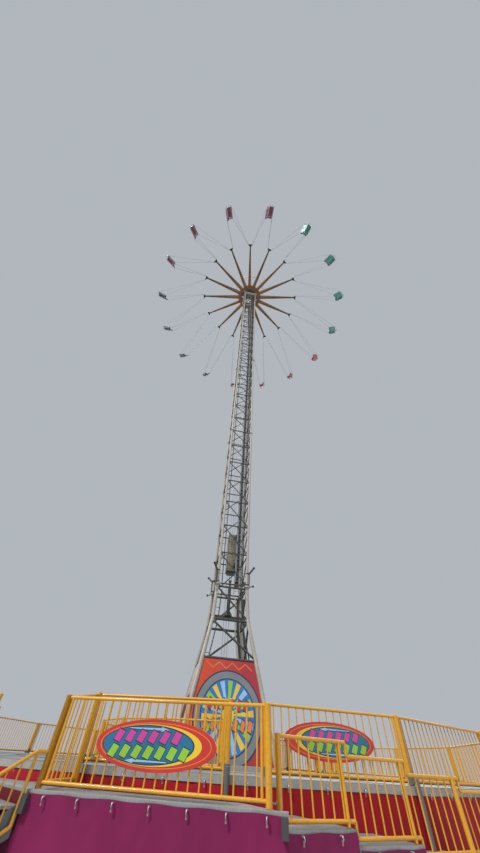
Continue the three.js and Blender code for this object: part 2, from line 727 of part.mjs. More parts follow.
function carriage() {
  const low = -1.5 * M;
  const high = 0.45 * M;
  const parts = corners.map(([sx, sy]) => block(
    at(sx * sleeveHalf, sy * sleeveHalf, (low + high) / 2), sleevePost, sleevePost, high - low,
  ));
  corners.forEach(([sx, sy], k) => {
    const [nx, ny] = corners[(k + 1) % 4];
    for (const z of [low + 0.05 * M, -0.75 * M, high - 0.05 * M]) {
      parts.push(beam(at(sx * sleeveHalf, sy * sleeveHalf, z), at(nx * sleeveHalf, ny * sleeveHalf, z), 0.07 * M, 0.09 * M));
    }
    parts.push(bar(at(sx * sleeveHalf, sy * sleeveHalf, low + 0.05 * M), at(nx * sleeveHalf, ny * sleeveHalf, -0.75 * M), 0.03 * M, 4));
    const padDepth = sleeveHalf - sleevePost / 2 - half - tubeFlat - gap;
    const inner = half + tubeFlat + gap;
    for (const z of [low + 0.12 * M, high - 0.12 * M]) {
      parts.push(block(at(sx * (inner + padDepth), sy * half, z), padDepth * 2, 0.06 * M, 0.2 * M));
      parts.push(beam(at(sx * (inner + padDepth * 1.5), sy * half, z), at(sx * (inner + padDepth * 1.5), sy * sleeveHalf, z), padDepth, 0.2 * M));
      parts.push(block(at(sx * half, sy * (inner + padDepth), z), 0.06 * M, padDepth * 2, 0.2 * M));
      parts.push(beam(at(sx * half, sy * (inner + padDepth * 1.5), z), at(sx * sleeveHalf, sy * (inner + padDepth * 1.5), z), padDepth, 0.2 * M));
    }
  });
  parts.push(band(bearingRadius, 1.38 * M, hubSides, 0, -0.3 * M, bearingTop));
  const well = corners.map(([sx, sy]) => [sx * 0.955 * M, sy * 0.955 * M]).reverse();
  parts.push(slab(polygon(1.4 * M, hubSides, 0), -0.3 * M, -0.26 * M, [well]));
  return join(parts);
}
const lift = raised(starHeight);
piece('carriage', carriage(), paint.frame, lift);

// The star turns on the carriage.
const star = raised(starHeight, ride);
star.rotation.z = firstArm;
const hubInner = (bearingRadius + runningGap) / Math.cos(Math.PI / hubSides);
const hubOuter = 1.84 * M;
const collarInner = hubOuter + 2 * gap;
const collarOuter = 1.96 * M;

// The drum of the star rests on the carriage's ring with an inner lip.
function starHub() {
  const drum = band(hubOuter, hubInner, hubSides, 0, -0.34 * M, bearingTop + gap + 0.08 * M);
  const lip = band(hubOuter, 1.52 * M / Math.cos(Math.PI / hubSides), hubSides, 0, bearingTop + gap, bearingTop + gap + 0.08 * M);
  return drum.add(lip);
}
piece('star_hub', starHub(), paint.orange, star);

const armRootDepth = 0.5 * M;
const armTipDepth = 0.16 * M;

function taperedArm(angle) {
  const rootHalf = 0.25 * M;
  const tipHalf = 0.1 * M;
  const root = collarOuter - 0.1 * M;
  const tip = armTipRadius - 0.22 * M;
  const form = new THREE.Shape([
    new THREE.Vector2(root, -rootHalf), new THREE.Vector2(tip, -tipHalf),
    new THREE.Vector2(tip, tipHalf), new THREE.Vector2(root, rootHalf),
  ]);
  const geometry = new THREE.ExtrudeGeometry(form, { depth: 1, bevelEnabled: false });
  const position = geometry.attributes.position;
  for (let k = 0; k < position.count; k += 1) {
    const share = (position.getX(k) - root) / (tip - root);
    const depth = armRootDepth + (armTipDepth - armRootDepth) * share;
    position.setZ(k, 0.16 * M - (1 - position.getZ(k)) * depth);
  }
  geometry.rotateZ(angle);
  return solid(geometry);
}

// The head of an arm: a plate that widens to the tip, with a lug under each end.
const halfStep = Math.PI / armCount;
const hingeRadius = armTipRadius * Math.cos(halfStep) + forkHalf * Math.sin(halfStep);
const hingeHalf = armTipRadius * Math.sin(halfStep) - forkHalf * Math.cos(halfStep);
const hingeZ = -hingeDrop;

function armFork(angle) {
  const inner = armTipRadius - 0.3 * M;
  const outer = armTipRadius + 0.03 * M;
  const wide = forkHalf + 0.03 * M;
  const flank = outer - 0.1 * M;
  const outline = [
    [inner, -0.1 * M], [flank, -wide], [outer, -wide], [outer, wide], [flank, wide], [inner, 0.1 * M],
  ];
  const turn = ([x, y]) => {
    const point = at(x, y, 0).applyAxisAngle(at(0, 0, 1), angle);
    return [point.x, point.y];
  };
  const parts = [slab(outline.map(turn), -0.02 * M, 0.06 * M)];
  for (const side of [-1, 1]) {
    const lug = new THREE.BoxGeometry(0.14 * M, lugThickness, 0.24 * M);
    lug.translate(hingeRadius, -side * hingeHalf, hingeZ + 0.05 * M);
    lug.rotateZ(angle + side * halfStep);
    parts.push(solid(lug));
  }
  return parts;
}

function starArms() {
  const parts = [band(collarOuter, collarInner, hubSides, 0, -0.3 * M, 0.16 * M)];
  for (let k = 0; k < armCount; k += 1) {
    const angle = k * tau / armCount;
    parts.push(taperedArm(angle), ...armFork(angle));
  }
  return join(parts);
}
piece('star_arms', starArms(), paint.orange, star);

// One gondola in its own frame: origin on the hinge line, x outwards, y ahead, hanging straight.
// Four chains run down to the ends of a bench whose riders look along y; its back leans back.
const eyeThickness = 0.08 * M;
const benchBottom = -chainDrop - 0.8 * M;
const benchBack = -0.3 * M;
const benchFront = 0.32 * M;
const backTop = -0.62 * M;
const armTop = benchBottom + 0.4 * M;

function benchSlice(outline, from, to) {
  const form = new THREE.Shape(outline.map(([y, z]) => new THREE.Vector2(y, z)));
  const geometry = new THREE.ExtrudeGeometry(form, { depth: to - from, bevelEnabled: false });
  geometry.applyMatrix4(new THREE.Matrix4().makeBasis(at(0, 1, 0), at(0, 0, 1), at(1, 0, 0)));
  geometry.translate(from, 0, benchBottom);
  return solid(geometry);
}

function gondolaBench() {
  const wall = 0.05 * M;
  const top = 0.8 * M;
  const bench = [
    [benchBack, 0], [benchFront, 0], [benchFront, wall],
    [benchBack + 0.07 * M, wall], [backTop + 0.06 * M, top], [backTop, top],
  ];
  const end = [
    [benchBack, 0], [benchFront, 0], [benchFront, 0.4 * M],
    [benchBack + 0.1 * M, 0.46 * M], [backTop + 0.1 * M, top], [backTop, top],
  ];
  return join([
    benchSlice(bench, -benchHalf, benchHalf),
    benchSlice(end, -benchHalf, -benchHalf + wall),
    benchSlice(end, benchHalf - wall, benchHalf),
  ]);
}

function gondolaChains() {
  const eyeMiddle = hingeHalf - lugThickness / 2 - gap - eyeThickness / 2;
  const end = benchHalf - 0.025 * M;
  const parts = [];
  for (const sy of [-1, 1]) {
    const eye = new THREE.CylinderGeometry(0.06 * M, 0.06 * M, eyeThickness, 6);
    eye.translate(0, sy * eyeMiddle, 0);
    parts.push(solid(eye));
    for (const sx of [-1, 1]) {
      const foot = sy < 0 ? at(sx * end, backTop + 0.06 * M, -chainDrop - 0.08 * M)
        : at(sx * end, benchFront - 0.03 * M, armTop - 0.03 * M);
      parts.push(bar(at(0, sy * eyeMiddle, 0), foot, chainRadius));
    }
  }
  const barY = benchFront - 0.03 * M;
  parts.push(bar(at(-end, barY, armTop - 0.05 * M), at(end, barY, armTop - 0.05 * M), 0.025 * M));
  return join(parts);
}

// The wind carries the gondolas on the lee side further out than those opposite.
function swingAngle(k) {
  return meanSwing + windLean * Math.cos((k - leeGondola) * tau / armCount);
}

const gondola = gondolaBench().add(gondolaChains());
for (let k = 0; k < armCount; k += 1) {
  const turn = new THREE.Group();
  turn.rotation.z = (k + 0.5) * tau / armCount;
  star.add(turn);
  const swing = new THREE.Group();
  swing.position.set(hingeRadius, 0, hingeZ);
  swing.rotation.y = -swingAngle(k);
  turn.add(swing);
  const label = String(k + 1).padStart(2, '0');
  piece(`gondola_${label}`, gondola, [shellColours[Math.floor(((k + 3) % 16) / 4)], 0.4, 0], swing);
}

// Counterweight inside the tower, low while the star is high.
function counterweight() {
  const height = 2.4 * M;
  const base = -2.4 * M / 2;
  const shoe = 0.2 * M;
  const frontFace = guideY + guideRadius + gap;
  const backFace = ladderBack - ladderDepth - gap;
  const parts = [block(at(0, 0, 0), 0.62 * M, 0.5 * M, height), block(at(0, 0, base), 0.46 * M, 0.4 * M, 0.2 * M)];
  for (const z of [base + 0.3 * M, height / 2 - 0.3 * M]) {
    parts.push(block(at(guideX, (frontFace - 0.2 * M) / 2, z), shoe, -0.2 * M - frontFace, shoe));
    parts.push(block(at(ladderLeft - 0.06 * M, (backFace + 0.2 * M) / 2, z), 0.24 * M, backFace - 0.2 * M, shoe));
  }
  return join(parts);
}
const weightHeight = 10.5 * M;
piece('counterweight', counterweight(), paint.steel, raised(weightHeight));

export default ride;
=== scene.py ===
"""A tower swing ride at half size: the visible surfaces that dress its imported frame."""

import functools
import math
import random

import bpy
from mathutils import Matrix, Vector


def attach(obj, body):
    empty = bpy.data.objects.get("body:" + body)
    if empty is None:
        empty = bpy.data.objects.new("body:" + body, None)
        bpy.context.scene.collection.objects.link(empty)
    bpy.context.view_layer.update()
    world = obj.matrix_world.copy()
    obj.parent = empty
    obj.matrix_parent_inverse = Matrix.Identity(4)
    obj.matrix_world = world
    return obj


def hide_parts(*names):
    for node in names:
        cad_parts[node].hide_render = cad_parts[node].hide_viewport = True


bl_info = {
    "name": "Tower swing ride",
    "version": (1, 0, 0),
    "blender": (4, 5, 0),
    "location": "3D View > Sidebar > Swing Ride",
    "description": "Builds the tower, star, gondolas and deck of a swing ride around its frame",
    "category": "Add Mesh",
}

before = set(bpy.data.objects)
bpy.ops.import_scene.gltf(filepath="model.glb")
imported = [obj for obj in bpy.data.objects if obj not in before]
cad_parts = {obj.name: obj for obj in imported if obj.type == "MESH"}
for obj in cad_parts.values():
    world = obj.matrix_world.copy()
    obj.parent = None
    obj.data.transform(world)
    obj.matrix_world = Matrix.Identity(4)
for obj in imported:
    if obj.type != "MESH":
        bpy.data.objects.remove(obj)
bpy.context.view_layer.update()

# Every length below is a real metre of the ride; the model is half that size.
HALF_SIZE = 0.5
X, Y, Z = Vector((1, 0, 0)), Vector((0, 1, 0)), Vector((0, 0, 1))
TURN = 2 * math.pi

# Tower.
TOWER_TURN = math.radians(9.5)
TOWER_HALF = 0.845
TUBE = 0.08
WAIST = 8.3
BAYS = 28
BAY = 1.83
TOWER_TOP = WAIST + BAYS * BAY
SECTION_BAYS = 7
LOWER_FRAME = 6.55
LOWER_HALF = 0.945
FOOT_HALF = 2.27
PANEL_TOP = 4.85

# Deck.
SIDES = 16
DECK_RADIUS = 10.35
DECK_FIRST = math.radians(-89)
DECK_EDGE = DECK_RADIUS + 0.002
RAIL_LINE = DECK_RADIUS - 0.12
FRAME_RIM = DECK_RADIUS - 0.0934
FRAME_RING = 3.9
INNER_FENCE = 5.05
SEAMS = (5.2, 7.8)
RISER = 0.168
DECK_TOP = 1.44
FLOOR = 0.12
FRAME_TOP = DECK_TOP - FLOOR - 0.002
HOLE_HALF = 2.13
LANDING_TOP = 7 * RISER
GOING = 0.28
TREADS = 6
EXIT_RUN = 1.45
EXIT_TURN = math.radians(28)

# Star and gondolas.
STAR = 57.7
FIRST_ARM = math.radians(-92.8)
ARMS = 16
ARM_TIP = 8.22
STEP = TURN / ARMS
FORK_HALF = 0.28
HINGE_RADIUS = ARM_TIP * math.cos(STEP / 2) + FORK_HALF * math.sin(STEP / 2)
HINGE_HALF = ARM_TIP * math.sin(STEP / 2) - FORK_HALF * math.cos(STEP / 2)
HINGE_DROP = 0.1
MEAN_SWING = math.radians(38)
WIND_LEAN = math.radians(3.2)
LEE_GONDOLA = 6
CHAIN_DROP = 9.1
BENCH_HALF = 0.74
BENCH_FRONT = 0.29
BACK_TOP = -0.56
BENCH_BOTTOM = -CHAIN_DROP - 0.8


def length_choice(label, description, default, low, high):
    """A length that a user may change."""
    return bpy.props.FloatProperty(name=label, description=description, default=default, min=low, max=high,
                                   unit="LENGTH")


def colour_choice(label, description, default):
    """A colour that a user may change."""
    return bpy.props.FloatVectorProperty(name=label, description=description, default=default, min=0, max=1,
                                         size=3, subtype="COLOR")


class RideSizes(bpy.types.PropertyGroup):
    """Sizes of the real ride that change how fine its parts are."""

    bar_pitch: length_choice("Bar pitch", "Distance between the railings' upright bars", 0.175, 0.08, 0.3)
    bar_radius: length_choice("Bar radius", "Radius of an upright railing bar", 0.0135, 0.005, 0.03)
    rail_radius: length_choice("Rail radius", "Radius of a top or foot rail", 0.026, 0.01, 0.06)
    link_pitch: length_choice("Chain link pitch", "Length of one link of the gondola chains", 0.08, 0.04, 0.3)
    lamp_pitch: length_choice("Lamp pitch", "Distance between lamps along the arms", 0.22, 0.1, 1.0)


class RideColours(bpy.types.PropertyGroup):
    """Paint and cloth colours."""

    tower: colour_choice("Tower", "Paint of the lattice tower", (0.46, 0.42, 0.36))
    rail: colour_choice("Railing", "Paint of the railings", (0.70, 0.34, 0.004))
    skirt: colour_choice("Deck skirt", "Cloth round the deck", (0.36, 0.004, 0.013))
    landing: colour_choice("Landing skirt", "Cloth round the landing", (0.19, 0.008, 0.068))
    star: colour_choice("Star", "Paint of the star's arms near the drum", (0.22, 0.068, 0.013))
    gondola_a: colour_choice("First gondolas", "Shells of gondolas 14 to 1", (0.16, 0.004, 0.032))
    gondola_b: colour_choice("Second gondolas", "Shells of gondolas 2 to 5", (0.003, 0.20, 0.15))
    gondola_c: colour_choice("Third gondolas", "Shells of gondolas 6 to 9", (0.36, 0.005, 0.009))
    gondola_d: colour_choice("Fourth gondolas", "Shells of gondolas 10 to 13", (0.005, 0.032, 0.10))


def round_points(count):
    """The cosine and sine of evenly spaced angles round a circle."""
    return [(math.cos(TURN * i / count), math.sin(TURN * i / count)) for i in range(count)]


def polar(radius, angle, z=0.0):
    """A point at a radius and an angle from +X, at height z."""
    return Vector((radius * math.cos(angle), radius * math.sin(angle), z))


def turned(point):
    """A point of the tower's own frame in the ride's frame."""
    return Matrix.Rotation(TOWER_TURN, 3, "Z") @ Vector(point)


def leg_half(z):
    """Half the distance between two leg centres at height z."""
    if z > LOWER_FRAME:
        share = (z - LOWER_FRAME) / (WAIST - LOWER_FRAME)
        return LOWER_HALF + (TOWER_HALF - LOWER_HALF) * min(share, 1)
    return FOOT_HALF + (LOWER_HALF - FOOT_HALF) * z / LOWER_FRAME


def tower_point(sx, sy, z):
    """The middle of a corner tube or leg at height z."""
    half = leg_half(z)
    return turned((sx * half, sy * half, z))


def raised(point, z):
    """The same place at height z."""
    return Vector((point.x, point.y, z))


def facing_out(a, b):
    """The level direction on the right of the way from a to b."""
    along = (b - a).normalized()
    return Vector((along.y, -along.x, 0))


def deck_corner(k, radius, z=0.0):
    """Corner k of the deck's sixteen-sided outline."""
    return polar(radius, DECK_FIRST + k * TURN / SIDES, z)


CORNERS = ((-1, -1), (1, -1), (1, 1), (-1, 1))
CORNER_PAIRS = tuple(zip(CORNERS, CORNERS[1:] + CORNERS[:1]))
TOWER_X, TOWER_Y = turned(X), turned(Y)
TOWER_AXES = (TOWER_X, TOWER_Y, Z)


class Form:
    """Gathers the faces of one piece in real metres and makes one object at model size."""

    def __init__(self):
        self.points = []
        self.faces = []
        self.finishes = []
        self.smooth = []

    def add(self, points, faces, finish=0, smooth=False):
        """Adds a set of points and the faces between them."""
        start = len(self.points)
        self.points.extend(tuple(p) for p in points)
        for face in faces:
            self.faces.append([start + i for i in face])
            self.finishes.append(finish)
            self.smooth.append(smooth)

    def box(self, centre, size, axes=(X, Y, Z), finish=0):
        """A block with its size along three axes."""
        c = Vector(centre)
        a, b, d = (axis * (s / 2) for axis, s in zip(axes, size))
        points = [c + a * i + b * j + d * k for i in (-1, 1) for j in (-1, 1) for k in (-1, 1)]
        faces = [(0, 1, 3, 2), (4, 6, 7, 5), (0, 4, 5, 1), (2, 3, 7, 6), (0, 2, 6, 4), (1, 5, 7, 3)]
        self.add(points, faces, finish)

    def beam(self, a, b, width, height, up=Z, finish=0):
        """A bar of rectangular section from a to b, its height along up."""
        a, b = Vector(a), Vector(b)
        ahead = (b - a).normalized()
        across = Vector(up).cross(ahead).normalized()
        self.box((a + b) / 2, ((b - a).length, width, height), (ahead, across, ahead.cross(across)), finish)

    def rod(self, a, b, radius, sides=8, finish=0):
        """A round bar from a to b."""
        a, b = Vector(a), Vector(b)
        ahead = (b - a).normalized()
        side = ahead.orthogonal().normalized()
        up = ahead.cross(side)
        ring = [c * side + s * up for c, s in round_points(sides)]
        low = [a + p * radius for p in ring]
        high = [b + p * radius for p in ring]
        walls = [(i, (i + 1) % sides, sides + (i + 1) % sides, sides + i) for i in range(sides)]
        self.add(low + high, walls, finish, True)
        self.add(low, [tuple(reversed(range(sides)))], finish)
        self.add(high, [tuple(range(sides))], finish)

    def tube(self, path, radius, sides=8, finish=0, closed=False):
        """A round bar swept along a path."""
        path = [Vector(p) for p in path]
        count = len(path)
        side = None
        rings = []
        for i, point in enumerate(path):
            before = path[i - 1] if i or closed else path[i]
            after = path[(i + 1) % count] if i + 1 < count or closed else path[i]
            ahead = (after - before).normalized()
            side = ahead.orthogonal() if side is None else side - ahead * side.dot(ahead)
            side.normalize()
            up = ahead.cross(side)
            rings.append([point + radius * (c * side + s * up) for c, s in round_points(sides)])
        walls = []
        for i in range(count if closed else count - 1):
            low, high = i * sides, (i + 1) % count * sides
            for j in range(sides):
                n = (j + 1) % sides
                walls.append((low + j, low + n, high + n, high + j))
        self.add([p for ring in rings for p in ring], walls, finish, True)
        if not closed:
            self.add(rings[0], [tuple(reversed(range(sides)))], finish)
            self.add(rings[-1], [tuple(range(sides))], finish)

    def plate(self, outline, origin, right, up, thickness, finish=0):
        """A flat outline of (right, up) places, its thickness centred on the plane."""
        origin, right, up = Vector(origin), Vector(right), Vector(up)
        out = right.cross(up).normalized() * (thickness / 2)
        flat = [origin + right * u + up * v for u, v in outline]
        count = len(flat)
        front = [p + out for p in flat]
        back = [p - out for p in flat]
        self.add(front, [tuple(range(count))], finish)
        self.add(back, [tuple(reversed(range(count)))], finish)
        walls = [(i, count + i, count + (i + 1) % count, (i + 1) % count) for i in range(count)]
        self.add(front + back, walls, finish)

    def turn(self, profile, centre, axis=Z, sides=24, finish=0, smooth=True, closed=False):
        """A (radius, height) profile turned about an axis through centre."""
        centre, axis = Vector(centre), Vector(axis).normalized()
        side = axis.orthogonal().normalized()
        up = axis.cross(side)
        count = len(profile)
        points = []
        for c, s in round_points(sides):
            out = c * side + s * up
            points += [centre + out * r + axis * h for r, h in profile]
        faces = []
        for i in range(sides):
            a, b = i * count, (i + 1) % sides * count
            for j in range(count if closed else count - 1):
                n = (j + 1) % count
                faces.append((a + j, b + j, b + n, a + n))
        self.add(points, faces, finish, smooth)

    def ring(self, inner, outer, low, high, centre, sides, finish=0, axis=Z):
        """A flat-sided ring between two radii and two heights."""
        profile = [(inner, low), (outer, low), (outer, high), (inner, high)]
        self.turn(profile, centre, axis, sides, finish, False, True)

    def dome(self, centre, out, radius, height, sides=8, finish=0):
        """A low lamp glass standing out from a surface."""
        profile = [(radius * r, height * h) for r, h in ((1, 0), (0.92, 0.5), (0.55, 0.87))]
        profile.append((0.001, height))
        self.turn(profile, centre, out, sides, finish)

    def ball(self, centre, radius, sides=12, finish=0):
        """A round ball."""
        half = sides // 2
        angles = [math.pi * i / half for i in range(half + 1)]
        profile = [(max(radius * math.sin(angle), 0.0005), -radius * math.cos(angle)) for angle in angles]
        self.turn(profile, centre, Z, sides, finish)

    def mesh(self, name, materials):
        """The gathered faces as a mesh at model size."""
        mesh = bpy.data.meshes.new(name)
        mesh.from_pydata([tuple(c * HALF_SIZE for c in p) for p in self.points], [], self.faces)
        for material in materials:
            mesh.materials.append(material)
        mesh.polygons.foreach_set("material_index", self.finishes)
        mesh.polygons.foreach_set("use_smooth", self.smooth)
        mesh.update()
        return mesh

    def make(self, name, materials, body="ride_base", nodes=(), slot=None, bevel=0.0):
        """One finished object that rides on a body and may stand for CAD nodes."""
        thing = bpy.data.objects.new(name, self.mesh(name, materials))
        bpy.context.scene.collection.objects.link(thing)
        if bevel:
            soften = thing.modifiers.new("edge", "BEVEL")
            soften.width = bevel * HALF_SIZE
            soften.segments = 2
            soften.limit_method = "ANGLE"
            soften.angle_limit = math.radians(50)
        if nodes:
            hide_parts(*nodes)
        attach(thing, body)
        return thing


# Materials.

def set_inputs(tree, node, inputs):
    """Gives a node its inputs, each a value or another node's socket."""
    for socket, value in inputs.items():
        if isinstance(value, bpy.types.NodeSocket):
            tree.links.new(value, node.inputs[socket])
        else:
            node.inputs[socket].default_value = value


def add_node(tree, kind, inputs=None, **settings):
    """A shader node with its settings and its inputs."""
    made = tree.nodes.new(kind)
    for key, value in settings.items():
        setattr(made, key, value)
    set_inputs(tree, made, inputs or {})
    return made


def new_material(name):
    """An empty node material with its shader and object coordinates."""
    material = bpy.data.materials.new(name)
    material.use_nodes = True
    tree = material.node_tree
    tree.nodes.clear()
    shader = add_node(tree, "ShaderNodeBsdfPrincipled")
    add_node(tree, "ShaderNodeOutputMaterial", {"Surface": shader.outputs["BSDF"]})
    place = add_node(tree, "ShaderNodeTexCoord").outputs["Object"]
    return material, tree, shader, place


def dress(tree, shader, base, rough, bump=(), **levels):
    """Gives a shader its colour, its roughness, a bump (strength, depth, height, normal) and other levels."""
    inputs = {"Base Color": base, "Roughness": rough}
    inputs.update((name.replace("_", " "), value) for name, value in levels.items())
    if bump:
        sockets = dict(zip(("Strength", "Distance", "Height", "Normal"), bump))
        inputs["Normal"] = add_node(tree, "ShaderNodeBump", sockets).outputs[0]
    set_inputs(tree, shader, inputs)


def math_node(tree, operation, a, b=0.0):
    """The result of a sum on one or two values."""
    return add_node(tree, "ShaderNodeMath", {0: a, 1: b}, operation=operation).outputs[0]


def blend_colours(tree, share, a, b):
    """Two colours mixed by a share between 0 and 1."""
    a, b = (c if isinstance(c, bpy.types.NodeSocket) else (*c[:3], 1) for c in (a, b))
    return add_node(tree, "ShaderNodeMix", {0: share, 6: a, 7: b}, data_type="RGBA").outputs[2]


def spread(tree, value, low, high, to_low=0.0, to_high=1.0):
    """A value mapped from one range to another and held inside it."""
    ranged = add_node(tree, "ShaderNodeMapRange", {0: value, 1: low, 2: high, 3: to_low, 4: to_high})
    return ranged.outputs[0]


def noise(tree, place, scale, detail=4.0, stretch=(1, 1, 1), rough=0.55):
    """Cloudy noise, stretched along the axes."""
    mapped = add_node(tree, "ShaderNodeMapping", {"Vector": place, "Scale": stretch})
    cloud = add_node(tree, "ShaderNodeTexNoise",
                     {"Vector": mapped.outputs[0], "Scale": scale, "Detail": detail, "Roughness": rough})
    return cloud.outputs["Fac"]


def shade(colour, factor):
    """A colour made lighter or darker."""
    return tuple(min(1.0, c * factor) for c in colour[:3])


def paint(name, colour, rough, streaks, chips, coat=0.0, chip_colour=(0.16, 0.13, 0.11), specular=0.5):
    """Weathered paint: rain streaks, dust, small chips and an uneven gloss."""
    material, tree, shader, place = new_material(name)
    streak = spread(tree, noise(tree, place, 9.0, 5.0, (1, 1, 0.12)), 0.42, 0.75)
    dust = spread(tree, noise(tree, place, 2.2, 6.0), 0.35, 0.7)
    fine = noise(tree, place, 60.0, 8.0)
    base = blend_colours(tree, dust, colour, shade(colour, 0.86))
    base = blend_colours(tree, math_node(tree, "MULTIPLY", streak, 0.45 * streaks), base, shade(colour, 0.45))
    edge = add_node(tree, "ShaderNodeNewGeometry").outputs["Pointiness"]
    worn = math_node(tree, "MULTIPLY", spread(tree, edge, 0.51, 0.58), spread(tree, fine, 0.5, 0.62))
    base = blend_colours(tree, math_node(tree, "MULTIPLY", worn, chips), base, chip_colour)
    gloss = spread(tree, fine, 0.3, 0.7, rough - 0.08, rough + 0.12)
    dress(tree, shader, base, gloss, (0.12, 0.002, fine), Coat_Weight=coat, Specular_IOR_Level=specular)
    return material


def bare_metal(name, colour, rough=0.38, scale=30.0):
    """Galvanised or drawn steel with a mottled sheen."""
    material, tree, shader, place = new_material(name)
    spots = add_node(tree, "ShaderNodeTexVoronoi", {"Vector": place, "Scale": scale}).outputs["Color"]
    grey = add_node(tree, "ShaderNodeSeparateColor", {0: spots}).outputs[0]
    fine = noise(tree, place, 90.0, 6.0)
    base = blend_colours(tree, spread(tree, grey, 0, 1, 0, 0.6), colour, shade(colour, 0.72))
    gloss = spread(tree, fine, 0.3, 0.7, rough - 0.1, rough + 0.15)
    dress(tree, shader, base, gloss, (0.1, 0.001, fine), Metallic=0.85)
    return material


def tread_plate(name, colour):
    """Aluminium floor plate with raised lozenges lying two ways, scuffed by feet."""
    material, tree, shader, place = new_material(name)
    cell = 0.022
    mapped = add_node(tree, "ShaderNodeMapping",
                      {"Vector": place, "Rotation": (0, 0, math.radians(45)), "Scale": (1 / cell,) * 3})
    parts = add_node(tree, "ShaderNodeSeparateXYZ", {0: mapped.outputs[0]})
    cells, reach = [], []
    for axis in (0, 1):
        cells.append(math_node(tree, "FLOOR", parts.outputs[axis]))
        inside = math_node(tree, "SUBTRACT", math_node(tree, "FRACT", parts.outputs[axis]), 0.5)
        reach.append(math_node(tree, "ABSOLUTE", inside))
    odd = math_node(tree, "PINGPONG", math_node(tree, "ADD", *cells), 1.0)
    lying = []
    for long_way, short_way in ((2.3, 7.5), (7.5, 2.3)):
        parts_of_it = (math_node(tree, "MULTIPLY", reach[0], long_way),
                       math_node(tree, "MULTIPLY", reach[1], short_way))
        lying.append(math_node(tree, "ADD", *parts_of_it))
    chosen = add_node(tree, "ShaderNodeMix", {0: odd, 2: lying[0], 3: lying[1]}, data_type="FLOAT").outputs[0]
    raised = spread(tree, chosen, 1.0, 0.7)
    wear = spread(tree, noise(tree, place, 1.6, 6.0), 0.35, 0.7)
    base = blend_colours(tree, wear, colour, shade(colour, 0.62))
    base = blend_colours(tree, math_node(tree, "MULTIPLY", raised, 0.35), base, shade(colour, 1.5))
    dress(tree, shader, base, spread(tree, wear, 0, 1, 0.48, 0.68), (0.6, 0.0015, raised), Metallic=0.3)
    return material


def sheet_cloth(name, colour):
    """Coated truck cloth: a fine weave, soft creases and stains, lighter along the crease crests."""
    material, tree, shader, place = new_material(name)
    crease = noise(tree, place, 3.0, 3.0, (1.4, 1.4, 0.5), 0.45)
    stain = spread(tree, noise(tree, place, 1.1, 5.0), 0.35, 0.75)
    waves = [add_node(tree, "ShaderNodeTexWave", {"Vector": place, "Scale": 160.0}, bands_direction=way)
             for way in ("Z", "DIAGONAL")]
    threads = math_node(tree, "ADD", *(wave.outputs["Fac"] for wave in waves))
    base = blend_colours(tree, stain, shade(colour, 1.12), shade(colour, 0.78))
    # Lighter where the crease noise is high, the same noise that raises the fold bump.
    base = blend_colours(tree, spread(tree, crease, 0.55, 0.75, 0, 0.2), base, shade(colour, 1.35))
    fold = add_node(tree, "ShaderNodeBump", {"Strength": 0.35, "Distance": 0.02, "Height": crease}).outputs[0]
    dress(tree, shader, base, 0.66, (0.15, 0.0005, threads, fold), Specular_IOR_Level=0.25, Sheen_Weight=0.04)
    return material


def moulded(name, colour, coat=0.4):
    """Gel-coated glass fibre with a faint orange-peel surface."""
    material, tree, shader, place = new_material(name)
    sun = spread(tree, noise(tree, place, 3.0, 4.0), 0.3, 0.75)
    fine = noise(tree, place, 140.0, 2.0)
    base = blend_colours(tree, sun, colour, shade(colour, 0.74))
    dress(tree, shader, base, spread(tree, sun, 0, 1, 0.24, 0.4), (0.06, 0.001, fine), Coat_Weight=coat)
    return material


def lamp_glass(name, colour, glow=0.0):
    """A coloured lamp cap."""
    material, tree, shader, place = new_material(name)
    base = blend_colours(tree, noise(tree, place, 45.0, 2.0), shade(colour, 1.2), shade(colour, 0.7))
    dress(tree, shader, base, 0.18, Coat_Weight=0.6)
    if glow:
        set_inputs(tree, shader, {"Emission Color": (*colour, 1), "Emission Strength": glow})
    return material


def star_paint(name, colour):
    """Paint that is orange at the drum and darkens towards the arms' tips as painted shade for the arms seen
    from below.
    """
    material, tree, shader, place = new_material(name)
    flat = add_node(tree, "ShaderNodeVectorMath", {0: place, 1: (1, 1, 0)}, operation="MULTIPLY").outputs[0]
    reach = add_node(tree, "ShaderNodeVectorMath", {0: flat}, operation="LENGTH").outputs[1]
    fine = noise(tree, place, 40.0, 6.0)
    patch = spread(tree, noise(tree, place, 4.0, 5.0), 0.35, 0.7)
    # Painted shade: towards the tips the colour turns nearly black, standing in for the shaded undersides of
    # the arms.
    base = blend_colours(tree, spread(tree, reach, 0.9, 1.7), colour, (0.022, 0.014, 0.011))
    base = blend_colours(tree, spread(tree, patch, 0, 1, 0, 0.5), base, shade(colour, 0.45))
    dress(tree, shader, base, spread(tree, fine, 0.3, 0.7, 0.35, 0.6), (0.1, 0.002, fine))
    return material


def board_paint(name, left, right, low, high):
    """Sign paint that runs from one colour to another across x."""
    material, tree, shader, place = new_material(name)
    parts = add_node(tree, "ShaderNodeSeparateXYZ", {0: place})
    cloud = noise(tree, place, 6.0, 4.0)
    shifted = math_node(tree, "ADD", parts.outputs[0], spread(tree, cloud, 0.3, 0.7, -0.08, 0.08))
    base = blend_colours(tree, spread(tree, shifted, low, high), left, right)
    dress(tree, shader, base, spread(tree, cloud, 0.3, 0.7, 0.28, 0.42), Coat_Weight=0.4)
    return material


def studio_floor(name, colour):
    """The pale studio floor."""
    material, tree, shader, place = new_material(name)
    cloud = spread(tree, noise(tree, place, 0.4, 2.0), 0.3, 0.7)
    dress(tree, shader, blend_colours(tree, cloud, colour, shade(colour, 0.97)), 0.9)
    return material


